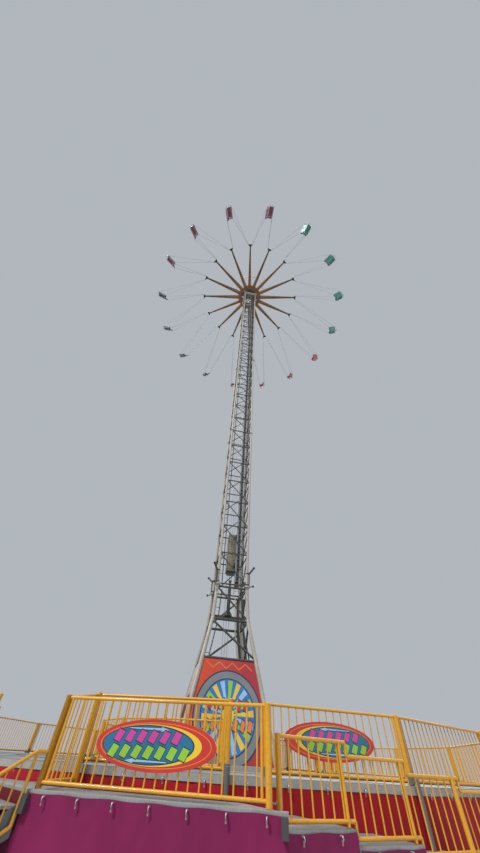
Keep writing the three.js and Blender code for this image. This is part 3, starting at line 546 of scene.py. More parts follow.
class Finishes:
    """The ride's materials, made once from its colours."""

    def __init__(self, colours):
        self.tower = paint("tower_paint", colours.tower, 0.45, 0.8, 0.5)
        self.dark_steel = paint("dark_steel", (0.055, 0.055, 0.058), 0.5, 0.4, 0.4)
        self.grey_steel = paint("grey_steel", (0.13, 0.14, 0.145), 0.45, 0.7, 0.5)
        # Painted shade: the struts, diagonals and leg braces share the tower's pale paint, and this dark grey
        # stands in for their backlit shade.
        self.bracing = paint("bracing_painted_shade", (0.052, 0.054, 0.046), 0.5, 0.7, 0.5)
        self.pale = paint("pale_paint", (0.62, 0.56, 0.47), 0.42, 0.5, 0.4)
        self.tan = paint("tan_edge_paint", (0.42, 0.27, 0.15), 0.45, 0.5, 0.4)
        self.white = paint("white_paint", (0.90, 0.90, 0.88), 0.35, 0.25, 0.2)
        self.rail = paint("rail_yellow", colours.rail, 0.34, 0.15, 0.25, 0.25, (0.40, 0.10, 0.02))
        self.red_paint = paint("red_paint", (0.13, 0.003, 0.008), 0.6, 0.5, 0.3, specular=0.2)
        self.zinc = bare_metal("galvanised", (0.52, 0.54, 0.56))
        self.chain = bare_metal("chain_steel", (0.30, 0.31, 0.33), 0.4, 60.0)
        self.blue_grey = paint("blue_grey_paint", (0.17, 0.21, 0.25), 0.4, 0.5, 0.3)
        self.tread = tread_plate("tread_plate", (0.33, 0.34, 0.33))
        self.trim = paint("edge_trim", (0.36, 0.36, 0.345), 0.6, 0.8, 0.3)
        self.skirt = sheet_cloth("red_cloth", colours.skirt)
        self.landing = sheet_cloth("purple_cloth", colours.landing)
        self.strap = sheet_cloth("strap_web", (0.30, 0.22, 0.23))
        self.star = star_paint("star_paint", colours.star)
        self.amber = lamp_glass("amber_lamp", (0.75, 0.26, 0.04), 0.15)
        self.clear = lamp_glass("clear_lamp", (0.80, 0.78, 0.70), 0.05)
        self.smoked = lamp_glass("smoked_globe", (0.03, 0.03, 0.035))
        self.rubber = paint("black_rubber", (0.02, 0.02, 0.021), 0.7, 0.2, 0.0)
        self.weight = paint("weight_paint", (0.34, 0.29, 0.22), 0.5, 0.9, 0.4)
        self.board = board_paint("board_red", (0.60, 0.06, 0.01), (0.36, 0.004, 0.018), -0.5, 0.5)
        self.shells = [moulded(f"shell_{i + 1}", c) for i, c in enumerate(
            (colours.gondola_a, colours.gondola_b, colours.gondola_c, colours.gondola_d))]
        self.art = {key: moulded(f"art_{key}", value, 0.15) for key, value in {
            "red": (0.56, 0.03, 0.018), "orange": (0.80, 0.22, 0.03), "blue": (0.03, 0.17, 0.48),
            "sky": (0.30, 0.55, 0.75), "yellow": (0.80, 0.55, 0.02), "green": (0.28, 0.55, 0.03),
            "pink": (0.62, 0.05, 0.30), "navy": (0.01, 0.02, 0.07), "silver": (0.19, 0.22, 0.24),
            "teal": (0.01, 0.16, 0.30)}.items()}


@functools.lru_cache(maxsize=None)
def finishes():
    """The ride's materials; the first call makes them."""
    return Finishes(bpy.context.scene.ride_colours)


# Stage.

EYE = Vector((0, -19, 1.6))
PITCH = math.radians(48.015)
YAW = math.radians(-0.157)
ROLL = math.radians(3.99)
FOCAL_PIXELS = 302
FRAME_HEIGHT = 853
SENSOR = 36
# Name, strength, width in degrees and the direction that each sun shines from.
SUNS = (
    ("key", 2.7, 9, (-0.62, -0.55, 0.9)),
    ("fill", 0.4, 60, (0.8, -0.6, 0.5)),
    ("rim", 0.6, 40, (0.3, 0.9, 0.5)),
)
FLOOR_REACH = 150


class RIDE_OT_stage(bpy.types.Operator):
    """Set the camera, the soft lights and the pale floor"""

    bl_idname = "ride.stage"
    bl_label = "Stage"

    def execute(self, context):
        """Make the stage."""
        scene = context.scene
        ahead = Vector((math.sin(YAW) * math.cos(PITCH), math.cos(YAW) * math.cos(PITCH), math.sin(PITCH)))
        level = Vector((math.cos(YAW), -math.sin(YAW), 0))
        above = level.cross(ahead)
        right = math.cos(ROLL) * level + math.sin(ROLL) * above
        up = -math.sin(ROLL) * level + math.cos(ROLL) * above
        lens = bpy.data.cameras.new("camera")
        lens.sensor_fit = "VERTICAL"
        lens.sensor_height = SENSOR
        lens.lens = FOCAL_PIXELS / FRAME_HEIGHT * SENSOR
        lens.clip_start = 0.05
        lens.clip_end = 400
        camera = bpy.data.objects.new("camera", lens)
        facing = Matrix((right, up, -ahead)).transposed().to_4x4()
        camera.matrix_world = Matrix.Translation(EYE * HALF_SIZE) @ facing
        scene.collection.objects.link(camera)
        scene.camera = camera

        for name, energy, angle, aim in SUNS:
            lamp = bpy.data.lights.new(name, "SUN")
            lamp.energy = energy
            lamp.angle = math.radians(angle)
            light = bpy.data.objects.new(name, lamp)
            light.rotation_euler = Vector(aim).to_track_quat("Z", "Y").to_euler()
            scene.collection.objects.link(light)

        world = bpy.data.worlds.new("studio")
        world.use_nodes = True
        backdrop = world.node_tree.nodes["Background"]
        backdrop.inputs["Color"].default_value = (0.80, 0.86, 0.93, 1)
        backdrop.inputs["Strength"].default_value = 0.55
        scene.world = world
        scene.view_settings.view_transform = "Standard"

        ground = Form()
        corners = [(x * FLOOR_REACH, y * FLOOR_REACH) for x, y in CORNERS]
        ground.plate(corners, (0, 0, -0.02), X, Y, 0.02)
        paving = studio_floor("floor_paint", (0.62, 0.61, 0.59))
        floor = bpy.data.objects.new("floor", ground.mesh("floor", [paving]))
        scene.collection.objects.link(floor)
        return {"FINISHED"}


# Tower.

STRUT = 0.04
DIAGONAL = 0.034
FLANGE = 0.14
GUIDE = Vector((0.17, -0.76, 0))
STILES = (0.4, 0.7)
LADDER = 0.76
RUNG_PITCH = 0.28
ROPES = ((-0.14, 0.36), (0.0, 0.36), (0.14, 0.36))
LAMP_RUNS = ((2.0, LOWER_FRAME - 0.25), (LOWER_FRAME + 0.1, WAIST - 0.25), (WAIST + 0.15, TOWER_TOP - 0.2))
LAMP_STEP = 0.17
BRACKET_STEP = 0.9


def lattice_side(form, a, b):
    """The struts and diagonals between two corner tubes, with a gusset at each end."""
    towards = (tower_point(*b, WAIST) - tower_point(*a, WAIST)).normalized()
    out = towards.cross(Z)
    for bay in range(BAYS + 1):
        z = min(WAIST + bay * BAY, TOWER_TOP - STRUT)
        strut = max(z, WAIST + STRUT)
        form.rod(tower_point(*a, strut), tower_point(*b, strut), STRUT)
        if bay == BAYS:
            continue
        foot, head = tower_point(*b, z + 0.05), tower_point(*a, z + BAY - 0.05)
        form.rod(foot, head, DIAGONAL)
        for point, side, rise in ((foot, -1, 1), (head, 1, -1)):
            gusset = [(0, 0), (side * 0.2, 0), (side * 0.08, rise * 0.16), (0, rise * 0.2)]
            form.plate(gusset, point + out * 0.002, towards, Z, 0.012)


def section_joints(form):
    """Bolted flanges where the tower's sections meet."""
    flange = [(0.002, -0.011), (FLANGE, -0.011), (FLANGE, 0.011), (0.002, 0.011)]
    for level in range(0, BAYS + 1, SECTION_BAYS):
        z = WAIST + level * BAY
        bolts = min(max(z, WAIST + 0.04), TOWER_TOP - 0.04)
        for corner in CORNERS:
            for step in ((-0.012, 0.012) if 0 < level < BAYS else (0.0,)):
                middle = tower_point(*corner, min(max(z + step, WAIST + 0.02), TOWER_TOP - 0.02))
                form.turn(flange, middle, Z, 20, 0, False)
            for i in range(8):
                bolt = tower_point(*corner, bolts) + polar(FLANGE * 0.8, TURN * i / 8)
                form.rod(bolt - Z * 0.035, bolt + Z * 0.035, 0.014, 6, 1)


def lamp_strips(strips):
    """Lamp strips on brackets beside three corners, and flat ducts down the right back leg."""
    out = -TOWER_Y
    for sx, sy, aside, behind, face in ((-1, -1, 0.3, 0.09, 0), (1, -1, 0.3, 0.09, 0), (1, 1, 0.09, -0.1, 2)):
        for low, high in LAMP_RUNS[2 if sy > 0 else 0:]:
            a, b = tower_point(sx, sy, low), tower_point(sx, sy, high)
            length = (b - a).length
            along = (b - a).normalized()
            shift = turned((-sx * aside * (0.85 if low > WAIST else 1.0), behind, 0))
            strips.beam(a + shift, b + shift, 0.02, 0.05, TOWER_X, face)
            for i in range(int(length / LAMP_STEP)):
                spot = a + shift + along * (0.1 + i * LAMP_STEP) + out * 0.008
                strips.rod(spot, spot + out * 0.03, 0.03, 6, 1)
            for i in range(int(length / BRACKET_STEP)):
                spot = a + along * (BRACKET_STEP * (i + 0.5))
                strips.rod(spot, spot + shift - out * 0.01, 0.012, 6)
    for low, high in ((PANEL_TOP - 1.5, LOWER_FRAME), (LOWER_FRAME, WAIST - 0.1)):
        a, b = tower_point(1, 1, low), tower_point(1, 1, high)
        for shift, width, face in ((-0.18, 0.14, 0), (0.16, 0.12, 0), (-0.32, 0.07, 2)):
            aside = turned((shift, -0.06, 0))
            strips.beam(a + aside, b + aside, width, 0.03, TOWER_Y, face)


class RIDE_OT_tower(bpy.types.Operator):
    """Build the lattice tower with its guide tube, ladder, ropes and lamp strips"""

    bl_idname = "ride.tower"
    bl_label = "Tower"

    def execute(self, context):
        """Make the tower's pieces."""
        look = finishes()
        tubes = Form()
        for corner in CORNERS:
            tubes.rod(tower_point(*corner, WAIST), tower_point(*corner, TOWER_TOP), TUBE, 20)
        section_joints(tubes)
        tubes.make("tower_tubes", [look.tower, look.zinc], nodes=("tower_front", "tower_back"),
                   slot="tower_paint")

        lattice = Form()
        for corner, other in CORNER_PAIRS:
            lattice_side(lattice, corner, other)
        lattice.make("tower_bracing", [look.bracing], nodes=("tower_left", "tower_right"), slot="tower_paint")

        guide = Form()
        guide.rod(turned(raised(GUIDE, WAIST + 0.25)), turned(raised(GUIDE, TOWER_TOP - 0.3)), 0.05, 16)
        for bay in range(1, BAYS):
            clamp = turned((GUIDE.x, GUIDE.y - 0.005, WAIST + bay * BAY))
            guide.box(clamp, (0.15, 0.13, 0.05), TOWER_AXES, 1)
        guide.make("guide_tube_dressed", [look.blue_grey, look.zinc], nodes=("guide_tube",),
                   slot="bare_steel")

        ladder = Form()
        for x in STILES:
            low, high = turned((x, LADDER, WAIST + 0.12)), turned((x, LADDER, TOWER_TOP - 0.2))
            ladder.beam(low, high, 0.11, 0.028, TOWER_X)
        z = WAIST + 0.3
        while z < TOWER_TOP - 0.3:
            ladder.rod(*(turned((x, LADDER, z)) for x in STILES), 0.014, 8, 1)
            z += RUNG_PITCH
        plate = turned((sum(STILES) / 2, LADDER + 0.04, (WAIST + TOWER_TOP) / 2))
        ladder.box(plate, (0.24, 0.012, TOWER_TOP - WAIST - 1.0), TOWER_AXES, 2)
        ladder.make("service_ladder_dressed", [look.tower, look.zinc, look.bracing],
                    nodes=("service_ladder",), slot="tower_paint")

        ropes = Form()
        for place in ROPES:
            ropes.rod(turned((*place, 1.55)), turned((*place, TOWER_TOP + 0.2)), 0.011, 6)
        ropes.make("hoist_ropes", [look.chain], slot="bare_steel")

        strips = Form()
        lamp_strips(strips)
        strips.make("lamp_strips", [look.dark_steel, look.smoked, look.pale], slot="tower_paint")
        return {"FINISHED"}


# Foot of the tower.

class RIDE_OT_foot(bpy.types.Operator):
    """Build the splayed legs, the waist with its stops and the centre buffer"""

    bl_idname = "ride.foot"
    bl_label = "Legs and waist"

    def execute(self, context):
        """Make the legs, stops and buffer."""
        look = finishes()
        legs = Form()
        for corner, other in CORNER_PAIRS:
            base = tower_point(*corner, 0.03)
            legs.rod(base, tower_point(*corner, LOWER_FRAME), 0.098, 20)
            legs.rod(tower_point(*corner, LOWER_FRAME), tower_point(*corner, WAIST - 0.03), 0.095, 20)
            legs.ball(tower_point(*corner, LOWER_FRAME), 0.108, 16)
            legs.box(base, (0.7, 0.7, 0.06), TOWER_AXES, 1)
            for x, y in CORNERS:
                bolt = base + turned((0.27 * x, 0.27 * y, 0.03))
                legs.rod(bolt, bolt + Z * 0.06, 0.022, 6, 2)
            legs.box(tower_point(*corner, WAIST - 0.025), (0.32, 0.32, 0.045), TOWER_AXES)
            for z, radius in ((WAIST - 0.13, 0.05), (LOWER_FRAME, 0.06), (PANEL_TOP, 0.05), (0.3, 0.06)):
                legs.rod(tower_point(*corner, z), tower_point(*other, z), radius, 12, 3)
            braces = ((WAIST - 0.15, LOWER_FRAME, 0.045), (LOWER_FRAME - 0.06, PANEL_TOP, 0.05))
            for high, low, radius in braces:
                legs.rod(tower_point(*corner, high), tower_point(*other, low + 0.06), radius, 10, 3)
        legs.make("legs_dressed", [look.tower, look.grey_steel, look.zinc, look.bracing],
                  nodes=("leg_frame",), slot="tower_paint")

        stops = Form()
        for corner in CORNERS:
            self.stop(stops, tower_point(*corner, WAIST), turned((*corner, 0)).normalized())
        stops.make("waist_stops", [look.dark_steel, look.rubber, look.zinc, look.smoked], slot="tower_paint")

        buffer = Form()
        z = LOWER_FRAME + 0.38
        for side in (-1, 1):
            x = side * LOWER_HALF
            buffer.beam(turned((x, 0, LOWER_FRAME)), turned((x, 0, z + 0.05)), 0.1, 0.1, TOWER_X)
        buffer.beam(turned((0.05 - LOWER_HALF, 0, z)), turned((LOWER_HALF - 0.05, 0, z)), 0.1, 0.1)
        column = [(0.002, 0.04), (0.22, 0.04), (0.22, 0.13), (0.13, 0.26), (0.1, 0.34), (0.09, 0.9),
                  (0.09, 1.56), (0.055, 1.58), (0.055, 1.84), (0.088, 1.86), (0.088, 1.93), (0.002, 1.96)]
        buffer.turn(column, (0, 0, z), smooth=False)
        for step in range(5):
            ridge = [(0.088, 0), (0.1, 0.01), (0.1, 0.03), (0.088, 0.04)]
            buffer.turn(ridge, (0, 0, z + 0.5 + step * 0.22))
        buffer.make("centre_buffer", [look.dark_steel], slot="tower_paint")
        return {"FINISHED"}

    @staticmethod
    def stop(stops, centre, out):
        """A clamped post with a rubber stop for the carriage, and a lamp on a short arm."""

        def spot(reach, rise):
            return centre + out * reach + Z * rise

        stops.beam(spot(0.15, 0.0), spot(0.15, 0.78), 0.05, 0.05, out)
        for level in (0.12, 0.74):
            stops.ring(TUBE + 0.001, 0.1, -0.025, 0.025, centre + Z * level, 20)
            stops.beam(spot(0.09, level), spot(0.15, level), 0.05, 0.05)
        stops.rod(spot(0.16, 0.72), spot(0.45, 0.976), 0.054, 18)
        stops.rod(spot(0.44, 0.967), spot(0.5, 1.02), 0.06, 18, 1)
        stops.rod(spot(0.1, -0.025), spot(0.38, -0.025), 0.026, 10)
        stops.ball(spot(0.42, -0.025), 0.062, 16, 3)


LEG_GAP = 0.105
SUNBURST = 2.95
SQUASH = 1.06
RAYS = 18
TEETH = 7
RIBS = 15


def oval(width, height, count):
    """Places round an ellipse."""
    return [(width / 2 * c, height / 2 * s) for c, s in round_points(count)]


def lozenge(u, v, width, height):
    """A leaning lozenge about (u, v)."""
    lean = height * 0.3
    return [(u - width / 2, v - lean), (u + width * 0.1, v - height / 2), (u + width / 2, v + lean),
            (u - width * 0.1, v + height / 2)]


class RIDE_OT_panels(bpy.types.Operator):
    """Build the painted front panel and the three side walls between the legs"""

    bl_idname = "ride.panels"
    bl_label = "Panels"

    def execute(self, context):
        """Make the walls between the legs."""
        look = finishes()
        lean = math.atan((FOOT_HALF - LOWER_HALF) / LOWER_FRAME)
        top, bottom = PANEL_TOP - 0.056, DECK_TOP - FLOOR
        rise = (top - bottom) / math.cos(lean)
        low, high = leg_half(bottom) - LEG_GAP, leg_half(top) - LEG_GAP
        art = [look.art[key] for key in ("navy", "silver", "blue", "yellow", "green", "red", "orange", "sky")]
        nodes = ("front_panel", "right_wall", "back_wall", "left_wall")
        for k, node in enumerate(nodes):
            spin = Matrix.Rotation(TOWER_TURN + k * TURN / 4, 3, "Z")
            right = spin @ X
            up = spin @ Vector((0, math.sin(lean), math.cos(lean)))
            out = right.cross(up)
            origin = spin @ Vector((0, -leg_half(bottom), bottom))
            wall = Form()
            wall.plate([(-low, 0), (low, 0), (high, rise), (-high, rise)], origin, right, up, 0.045)
            for level in (0.02, rise * 0.5, rise - 0.02):
                half = right * (low + (high - low) * level / rise - 0.01)
                middle = origin + up * level - out * 0.022
                wall.beam(middle - half, middle + half, 0.012, 0.03, up, 1)
            if k == 0:
                self.picture(wall, origin + out * 0.026, right, up, rise, high - 0.12)
            else:
                self.cladding(wall, origin + out * 0.03, right, up, rise, high - 0.05)
            sheet = look.red_paint if k else look.board
            wall.make(f"{node.split('_')[0]}_board", [sheet, look.grey_steel, look.pale, *art], nodes=(node,),
                      slot="wall_paint" if k else "panel_red")
        return {"FINISHED"}

    @staticmethod
    def picture(wall, origin, right, up, rise, half):
        """A plain sunburst in a ring with two rows of lozenges, under a zigzag line."""
        out = right.cross(up)
        centre = origin + up * (rise * 0.45)

        def layer(outline, height, finish, thickness=0.004):
            wall.plate(outline, centre + out * height, right, up, thickness, finish)

        for level, (share, finish) in enumerate(((1, 3), (0.965, 4), (0.80, 3), (0.775, 5))):
            width = SUNBURST * share
            layer(oval(width, width * SQUASH, 64), 0.004 * level, finish)
        near, far = (0.12, 0.14), (SUNBURST * 0.375, SUNBURST * 0.375 * SQUASH)
        for i in range(RAYS):
            a, b = TURN * i / RAYS, TURN * (i + 0.55) / RAYS
            ends = ((near, a), (far, a), (far, b), (near, b))
            ray = [(u * math.cos(angle), v * math.sin(angle)) for (u, v), angle in ends]
            layer(ray, 0.017, (6, 7, 10)[i % 3])
        for level, count, finish in ((0.34, 6, 8), (-0.30, 7, 9)):
            for i in range(count):
                u = (i - (count - 1) / 2) * 0.31
                layer(lozenge(u, level, 0.29, 0.48), 0.022, 3)
                layer(lozenge(u, level, 0.24, 0.40), 0.026, finish)
        layer(oval(0.5, 0.55, 32), 0.022, 6, 0.006)
        edge = [origin + right * (half * (2 * i / TEETH - 1)) + up * (rise - 0.1 - 0.24 * (i % 2))
                for i in range(TEETH + 1)]
        for a, b in zip(edge, edge[1:]):
            wall.beam(a, b, 0.035, 0.006, out, 9)

    @staticmethod
    def cladding(wall, origin, right, up, rise, half):
        """Ribbed pale cladding over the top third."""
        for i in range(RIBS):
            foot = origin + right * (half * (2 * (i + 0.5) / RIBS - 1))
            wall.beam(foot + up * (rise * 0.66), foot + up * (rise - 0.05), 0.09, 0.02, right.cross(up), 2)


# Head of the tower.

SHEAVE_RISE = 0.6
HOOP_RISE = 1.42
HOOP_RADIUS = 2.6


class RIDE_OT_head(bpy.types.Operator):
    """Build the sheave frame and the white hoop above the star"""

    bl_idname = "ride.head"
    bl_label = "Tower head"

    def execute(self, context):
        """Make the head and its hoop."""
        look = finishes()
        head = Form()
        top = TOWER_TOP
        sheave = [(0.05, -0.05), (0.36, -0.025), (0.42, -0.05), (0.42, -0.042), (0.385, 0), (0.42, 0.042),
                  (0.42, 0.05), (0.36, 0.025), (0.05, 0.05)]
        head.box((0, 0, top + 0.055), (2.08, 2.08, 0.09), TOWER_AXES)
        for y in (-0.55, 0.55):
            for x in (-0.3, 0.3):
                bearing = turned((x, y, top + 0.62))
                for foot in (-0.3, 0.3):
                    head.beam(turned((x, y + foot, top + 0.1)), bearing, 0.06, 0.09, X)
                head.box(bearing, (0.09, 0.2, 0.2), TOWER_AXES)
            for x in (-0.38, -0.14, 0.14, 0.38):
                head.turn(sheave, turned((x, y, top + SHEAVE_RISE)), TOWER_X, 32, 1, False, True)
            head.rod(*(turned((x, y, top + SHEAVE_RISE)) for x in (-0.48, 0.48)), 0.045, 16, 2)
        head.rod((0, 0, top + 0.1), (0, 0, top + 1.475), 0.088, 20)
        for i in range(4):
            arm = turned(polar(0.35, TURN * (i + 0.5) / 4, top + 0.1))
            head.beam(arm, (0, 0, top + 1.1), 0.05, 0.05)
        for corner, other in CORNER_PAIRS:
            head.rod(turned((*corner, top + 0.1)), turned((*corner, top + 1.0)), 0.022)
            for height in (0.55, 1.0):
                head.rod(turned((*corner, top + height)), turned((*other, top + height)), 0.018)
        head.make("tower_head_dressed", [look.tower, look.grey_steel, look.zinc], nodes=("tower_head",),
                  slot="tower_paint")

        hoop = Form()
        level = top + HOOP_RISE
        rim = [(HOOP_RADIUS - r, z) for r, z in (
            (0.14, -0.1), (0.01, -0.1), (0, -0.06), (0, 0.06), (0.01, 0.1), (0.14, 0.1))]
        hub = [(0.12, -0.12), (0.3, -0.12), (0.3, 0.1), (0.002, 0.1)]
        hoop.turn(rim, (0, 0, level), Z, 96, 0, False, True)
        hoop.turn(hub, (0, 0, level), Z, 32, 0, False)
        for k in range(8):
            angle = TOWER_TURN + k * TURN / 8
            hoop.rod(polar(0.25, angle, level), polar(HOOP_RADIUS - 0.1, angle, level), 0.028, 10)
        lamps = 48
        for k in range(lamps):
            angle = TURN * k / lamps
            hoop.dome(polar(HOOP_RADIUS, angle, level), polar(1, angle), 0.045, 0.05, 8, 1)
            hoop.dome(polar(HOOP_RADIUS - 0.07, angle, level - 0.1), -Z, 0.045, 0.05, 8, 1)
        hoop.make("head_hoop_dressed", [look.white, look.clear], nodes=("head_hoop",), slot="white_paint")
        return {"FINISHED"}


# Deck.

HOOK_STEP = 0.75
CLOTH_ROWS = 14


def hanging_cloth(name, line, low, material, slot, gather, seed, nodes=()):
    """A cloth hung from hooks along a line of top points, falling in soft folds to a height."""
    phase = random.Random(seed).random() * TURN
    spans = list(zip(line, line[1:]))
    columns = []
    walked = 0.0
    for a, b in spans:
        length = (b - a).length
        steps = max(2, int(length / 0.06))
        out = facing_out(a, b)
        columns += [(a.lerp(b, i / steps), out, walked + length * (i / steps)) for i in range(steps)]
        walked += length
    columns.append((line[-1], out, walked))
    points = []
    for top, out, place in columns:
        between = place / HOOK_STEP % 1.0
        beside = ((place / HOOK_STEP + 0.5) % 1.0 - 0.5) * HOOK_STEP
        sag = 0.012 * math.sin(math.pi * between) ** 2
        fold = math.sin(place * TURN / 1.7 + phase) + 0.5 * math.sin(place * TURN / 0.62 + 2.1 * phase)
        ripple = math.sin(place * TURN / 0.41 + 0.7 * phase)
        near_hook = math.exp(-(between * 5) ** 2) + math.exp(-((1 - between) * 5) ** 2)
        for row in range(CLOTH_ROWS + 1):
            drop = row / CLOTH_ROWS
            below = (top.z - low) * drop + 0.04
            wave = fold * (0.25 + 0.75 * drop) + 0.35 * ripple * drop * (1 - drop)
            wave += 0.8 * near_hook * math.exp(-drop * 5)
            crease = math.exp(-1.8 * math.hypot(beside, below))
            wave += 0.55 * math.sin(9 * math.atan2(beside, below) + phase) * crease
            hanging = raised(top, top.z - sag + (low - top.z + sag) * drop)
            points.append(hanging + out * (gather * (wave * 0.5 - 1)))
    count = CLOTH_ROWS + 1
    faces = [(c * count + row, c * count + row + 1, (c + 1) * count + row + 1, (c + 1) * count + row)
             for c in range(len(columns) - 1) for row in range(CLOTH_ROWS)]
    cloth = Form()
    cloth.add(points, faces, 0, True)
    piece = cloth.make(name, [material], nodes=nodes, slot=slot)


def hooks(form, line, pitch):
    """Small hooks with a short strap end along the top of a cloth."""
    for a, b in zip(line, line[1:]):
        out = facing_out(a, b)
        count = max(1, int((b - a).length / pitch))
        for i in range(count):
            spot = a.lerp(b, (i + 0.5) / count)
            form.rod(spot - out * 0.02, spot + out * 0.045, 0.012)
            bend = ((0.04, 0), (0.06, 0.02), (0.045, 0.05), (0.02, 0.045))
            form.tube([spot + out * reach - Z * drop for reach, drop in bend], 0.008, 6)
            form.beam(spot + out * 0.036 - Z * 0.03, spot + out * 0.032 - Z * 0.085, 0.022, 0.006, out, 1)


def deck_panel(form, k, outer, low, high):
    """One of the sixteen floor panels, which reaches in to the square hole."""
    ends = []
    for corner in (k, (k + 1) % SIDES):
        angle = DECK_FIRST + corner * TURN / SIDES - TOWER_TURN
        ends.append(polar(HOLE_HALF / max(abs(math.cos(angle)), abs(math.sin(angle))), angle))
    a, b = ends
    inner = [turned(b), turned(a)]
    if (abs(a.x) < abs(a.y)) != (abs(b.x) < abs(b.y)):
        inner.insert(1, turned([math.copysign(HOLE_HALF, side) for side in (a + b).xy] + [0]))
    cell = [deck_corner(k, outer), deck_corner((k + 1) % SIDES, outer), *inner]
    count = len(cell)
    top, bottom = [raised(p, high) for p in cell], [raised(p, low) for p in cell]
    form.add(top, [tuple(range(count))])
    form.add(bottom, [tuple(reversed(range(count)))], 1)
    form.add(top + bottom, [(i, count + i, count + i + 1, i + 1) for i in (0, *range(2, count - 1))], 1)


class RIDE_OT_deck(bpy.types.Operator):
    """Build the deck floor, its edge, its frame and the red cloth round it"""

    bl_idname = "ride.deck"
    bl_label = "Deck"

    def execute(self, context):
        """Make the deck."""
        look = finishes()
        floor = Form()
        for k in range(SIDES):
            deck_panel(floor, k, DECK_RADIUS - 0.006, DECK_TOP - FLOOR + 0.002, DECK_TOP - 0.008)
        seam = DECK_TOP - 0.005
        for k in range(SIDES):
            a, b = (deck_corner(k + n, DECK_RADIUS - 0.004, DECK_TOP - 0.062) for n in (0, 1))
            out = raised(a + b, 0).normalized()
            floor.beam(a - out * 0.02, b - out * 0.02, 0.03, 0.12, Z, 1)
            lip = Z * 0.056 - out * 0.05
            floor.beam(a + lip, b + lip, 0.09, 0.008, Z, 1)
            floor.beam(deck_corner(k, 3.4, seam), deck_corner(k, RAIL_LINE, seam), 0.05, 0.008, Z, 2)
            for radius in SEAMS:
                floor.beam(deck_corner(k, radius, seam), deck_corner(k + 1, radius, seam), 0.04, 0.008, Z, 2)
        floor.make("deck_floor_dressed", [look.tread, look.trim, look.grey_steel], nodes=("deck_floor",),
                   slot="deck_plate")

        kerb = Form()
        half = HOLE_HALF + 0.03
        for pair in CORNER_PAIRS:
            kerb.beam(*(turned((x * half, y * half, DECK_TOP + 0.04)) for x, y in pair), 0.05, 0.1)
        kerb.make("deck_kerb", [look.trim], slot="deck_plate", bevel=0.006)

        steel = Form()
        girder, post = (0.11, 0.118), (0.105, 0.105)
        level = FRAME_TOP - 0.06
        for k in range(SIDES):
            out = deck_corner(k, 1)
            foot = deck_corner(k, FRAME_RIM - 0.06, 0.012)
            steel.beam(deck_corner(k, FRAME_RIM, level), deck_corner(k + 1, FRAME_RIM, level), *girder)
            steel.beam(raised(foot, 0.02), raised(foot, FRAME_TOP), *post, out)
            steel.box(foot, (0.2, 0.2, 0.022), (out, out.cross(Z), Z))
        for k in range(0, SIDES, 2):
            foot, head = deck_corner(k, FRAME_RING), deck_corner(k, FRAME_RING, FRAME_TOP)
            for end in (deck_corner(k, FRAME_RIM, level), deck_corner(k + 2, FRAME_RING, level)):
                steel.beam(raised(foot, level), end, *girder)
            steel.beam(foot, head, *post, deck_corner(k, 1))
        for corner in CORNERS:
            leg = tower_point(*corner, 0.03)
            k = 2 * round((math.atan2(leg.y, leg.x) - DECK_FIRST) / TURN * SIDES / 2)
            end = deck_corner(k, FRAME_RING, 0.03)
            steel.beam(leg + (end - leg).normalized() * 0.52, end, 0.11, 0.058)
        steel.make("deck_frame_dressed", [look.grey_steel], nodes=("base_frame",), slot="frame_grey",
                   bevel=0.006)

        for part in range(4):
            line = [deck_corner(part * 4 + k, DECK_RADIUS + 0.012, FRAME_TOP) for k in range(5)]
            hanging_cloth(f"deck_skirt_{part + 1}", line, 0.01, look.skirt, "skirt_red", 0.03,
                          part + 3, ("deck_skirt",) if part == 0 else ())
        fittings = Form()
        hooks(fittings, [deck_corner(k, DECK_RADIUS, DECK_TOP - 0.085) for k in range(SIDES + 1)], 0.8)
        fittings.make("skirt_hooks", [look.zinc, look.strap], slot="bare_steel")
        return {"FINISHED"}


# Railings.

RAIL_HEIGHT = 1.05
RAIL_FOOT = 0.07


def fence(form, points, sizes, height=RAIL_HEIGHT, end_height=None, socket=True):
    """A railing on a line of points: two rails, upright bars and a post at each point."""
    tops = [p + Z * height for p in points]
    if end_height:
        tops[-1] = points[-1] + Z * end_height
    lift = Z * RAIL_FOOT
    strip = Z * (RAIL_FOOT - 0.026)
    for (a, top_a), (b, top_b) in zip(zip(points, tops), zip(points[1:], tops[1:])):
        form.rod(a + lift, b + lift, sizes.rail_radius, 12)
        form.rod(top_a, top_b, sizes.rail_radius, 12)
        form.beam(a + strip, b + strip, 0.03, 0.012, Z, 2)
        length = (b - a).length
        count = max(1, round(length / sizes.bar_pitch))
        bars = [(j / count, sizes.bar_radius, 8) for j in range(1, count)]
        bars += [(share, sizes.rail_radius * 0.9, 12) for share in (0.1 / length, 1 - 0.1 / length)]
        for share, radius, sides in bars:
            form.rod(a.lerp(b, share) + lift, top_a.lerp(top_b, share), radius, sides)
    for point, top in zip(points, tops):
        form.rod(point + Z * 0.004, top + Z * 0.022, 0.05, 16)
        form.dome(top + Z * 0.02, Z, 0.052, 0.018, 16)
        if socket:
            form.turn([(0.052, 0.002), (0.066, 0.002), (0.066, 0.13), (0.052, 0.14)], point, Z, 16, 1, False)


def make_railing(form, name, node):
    """Makes a railing in the paints that every railing has."""
    look = finishes()
    form.make(name, [look.rail, look.grey_steel, look.red_paint], nodes=(node,), slot="rail_yellow")


def rail_place(corners):
    """A place on the line of the deck's railing, counted in corners."""
    k = int(corners)
    return deck_corner(k, RAIL_LINE, DECK_TOP).lerp(deck_corner(k + 1, RAIL_LINE, DECK_TOP), corners - k)


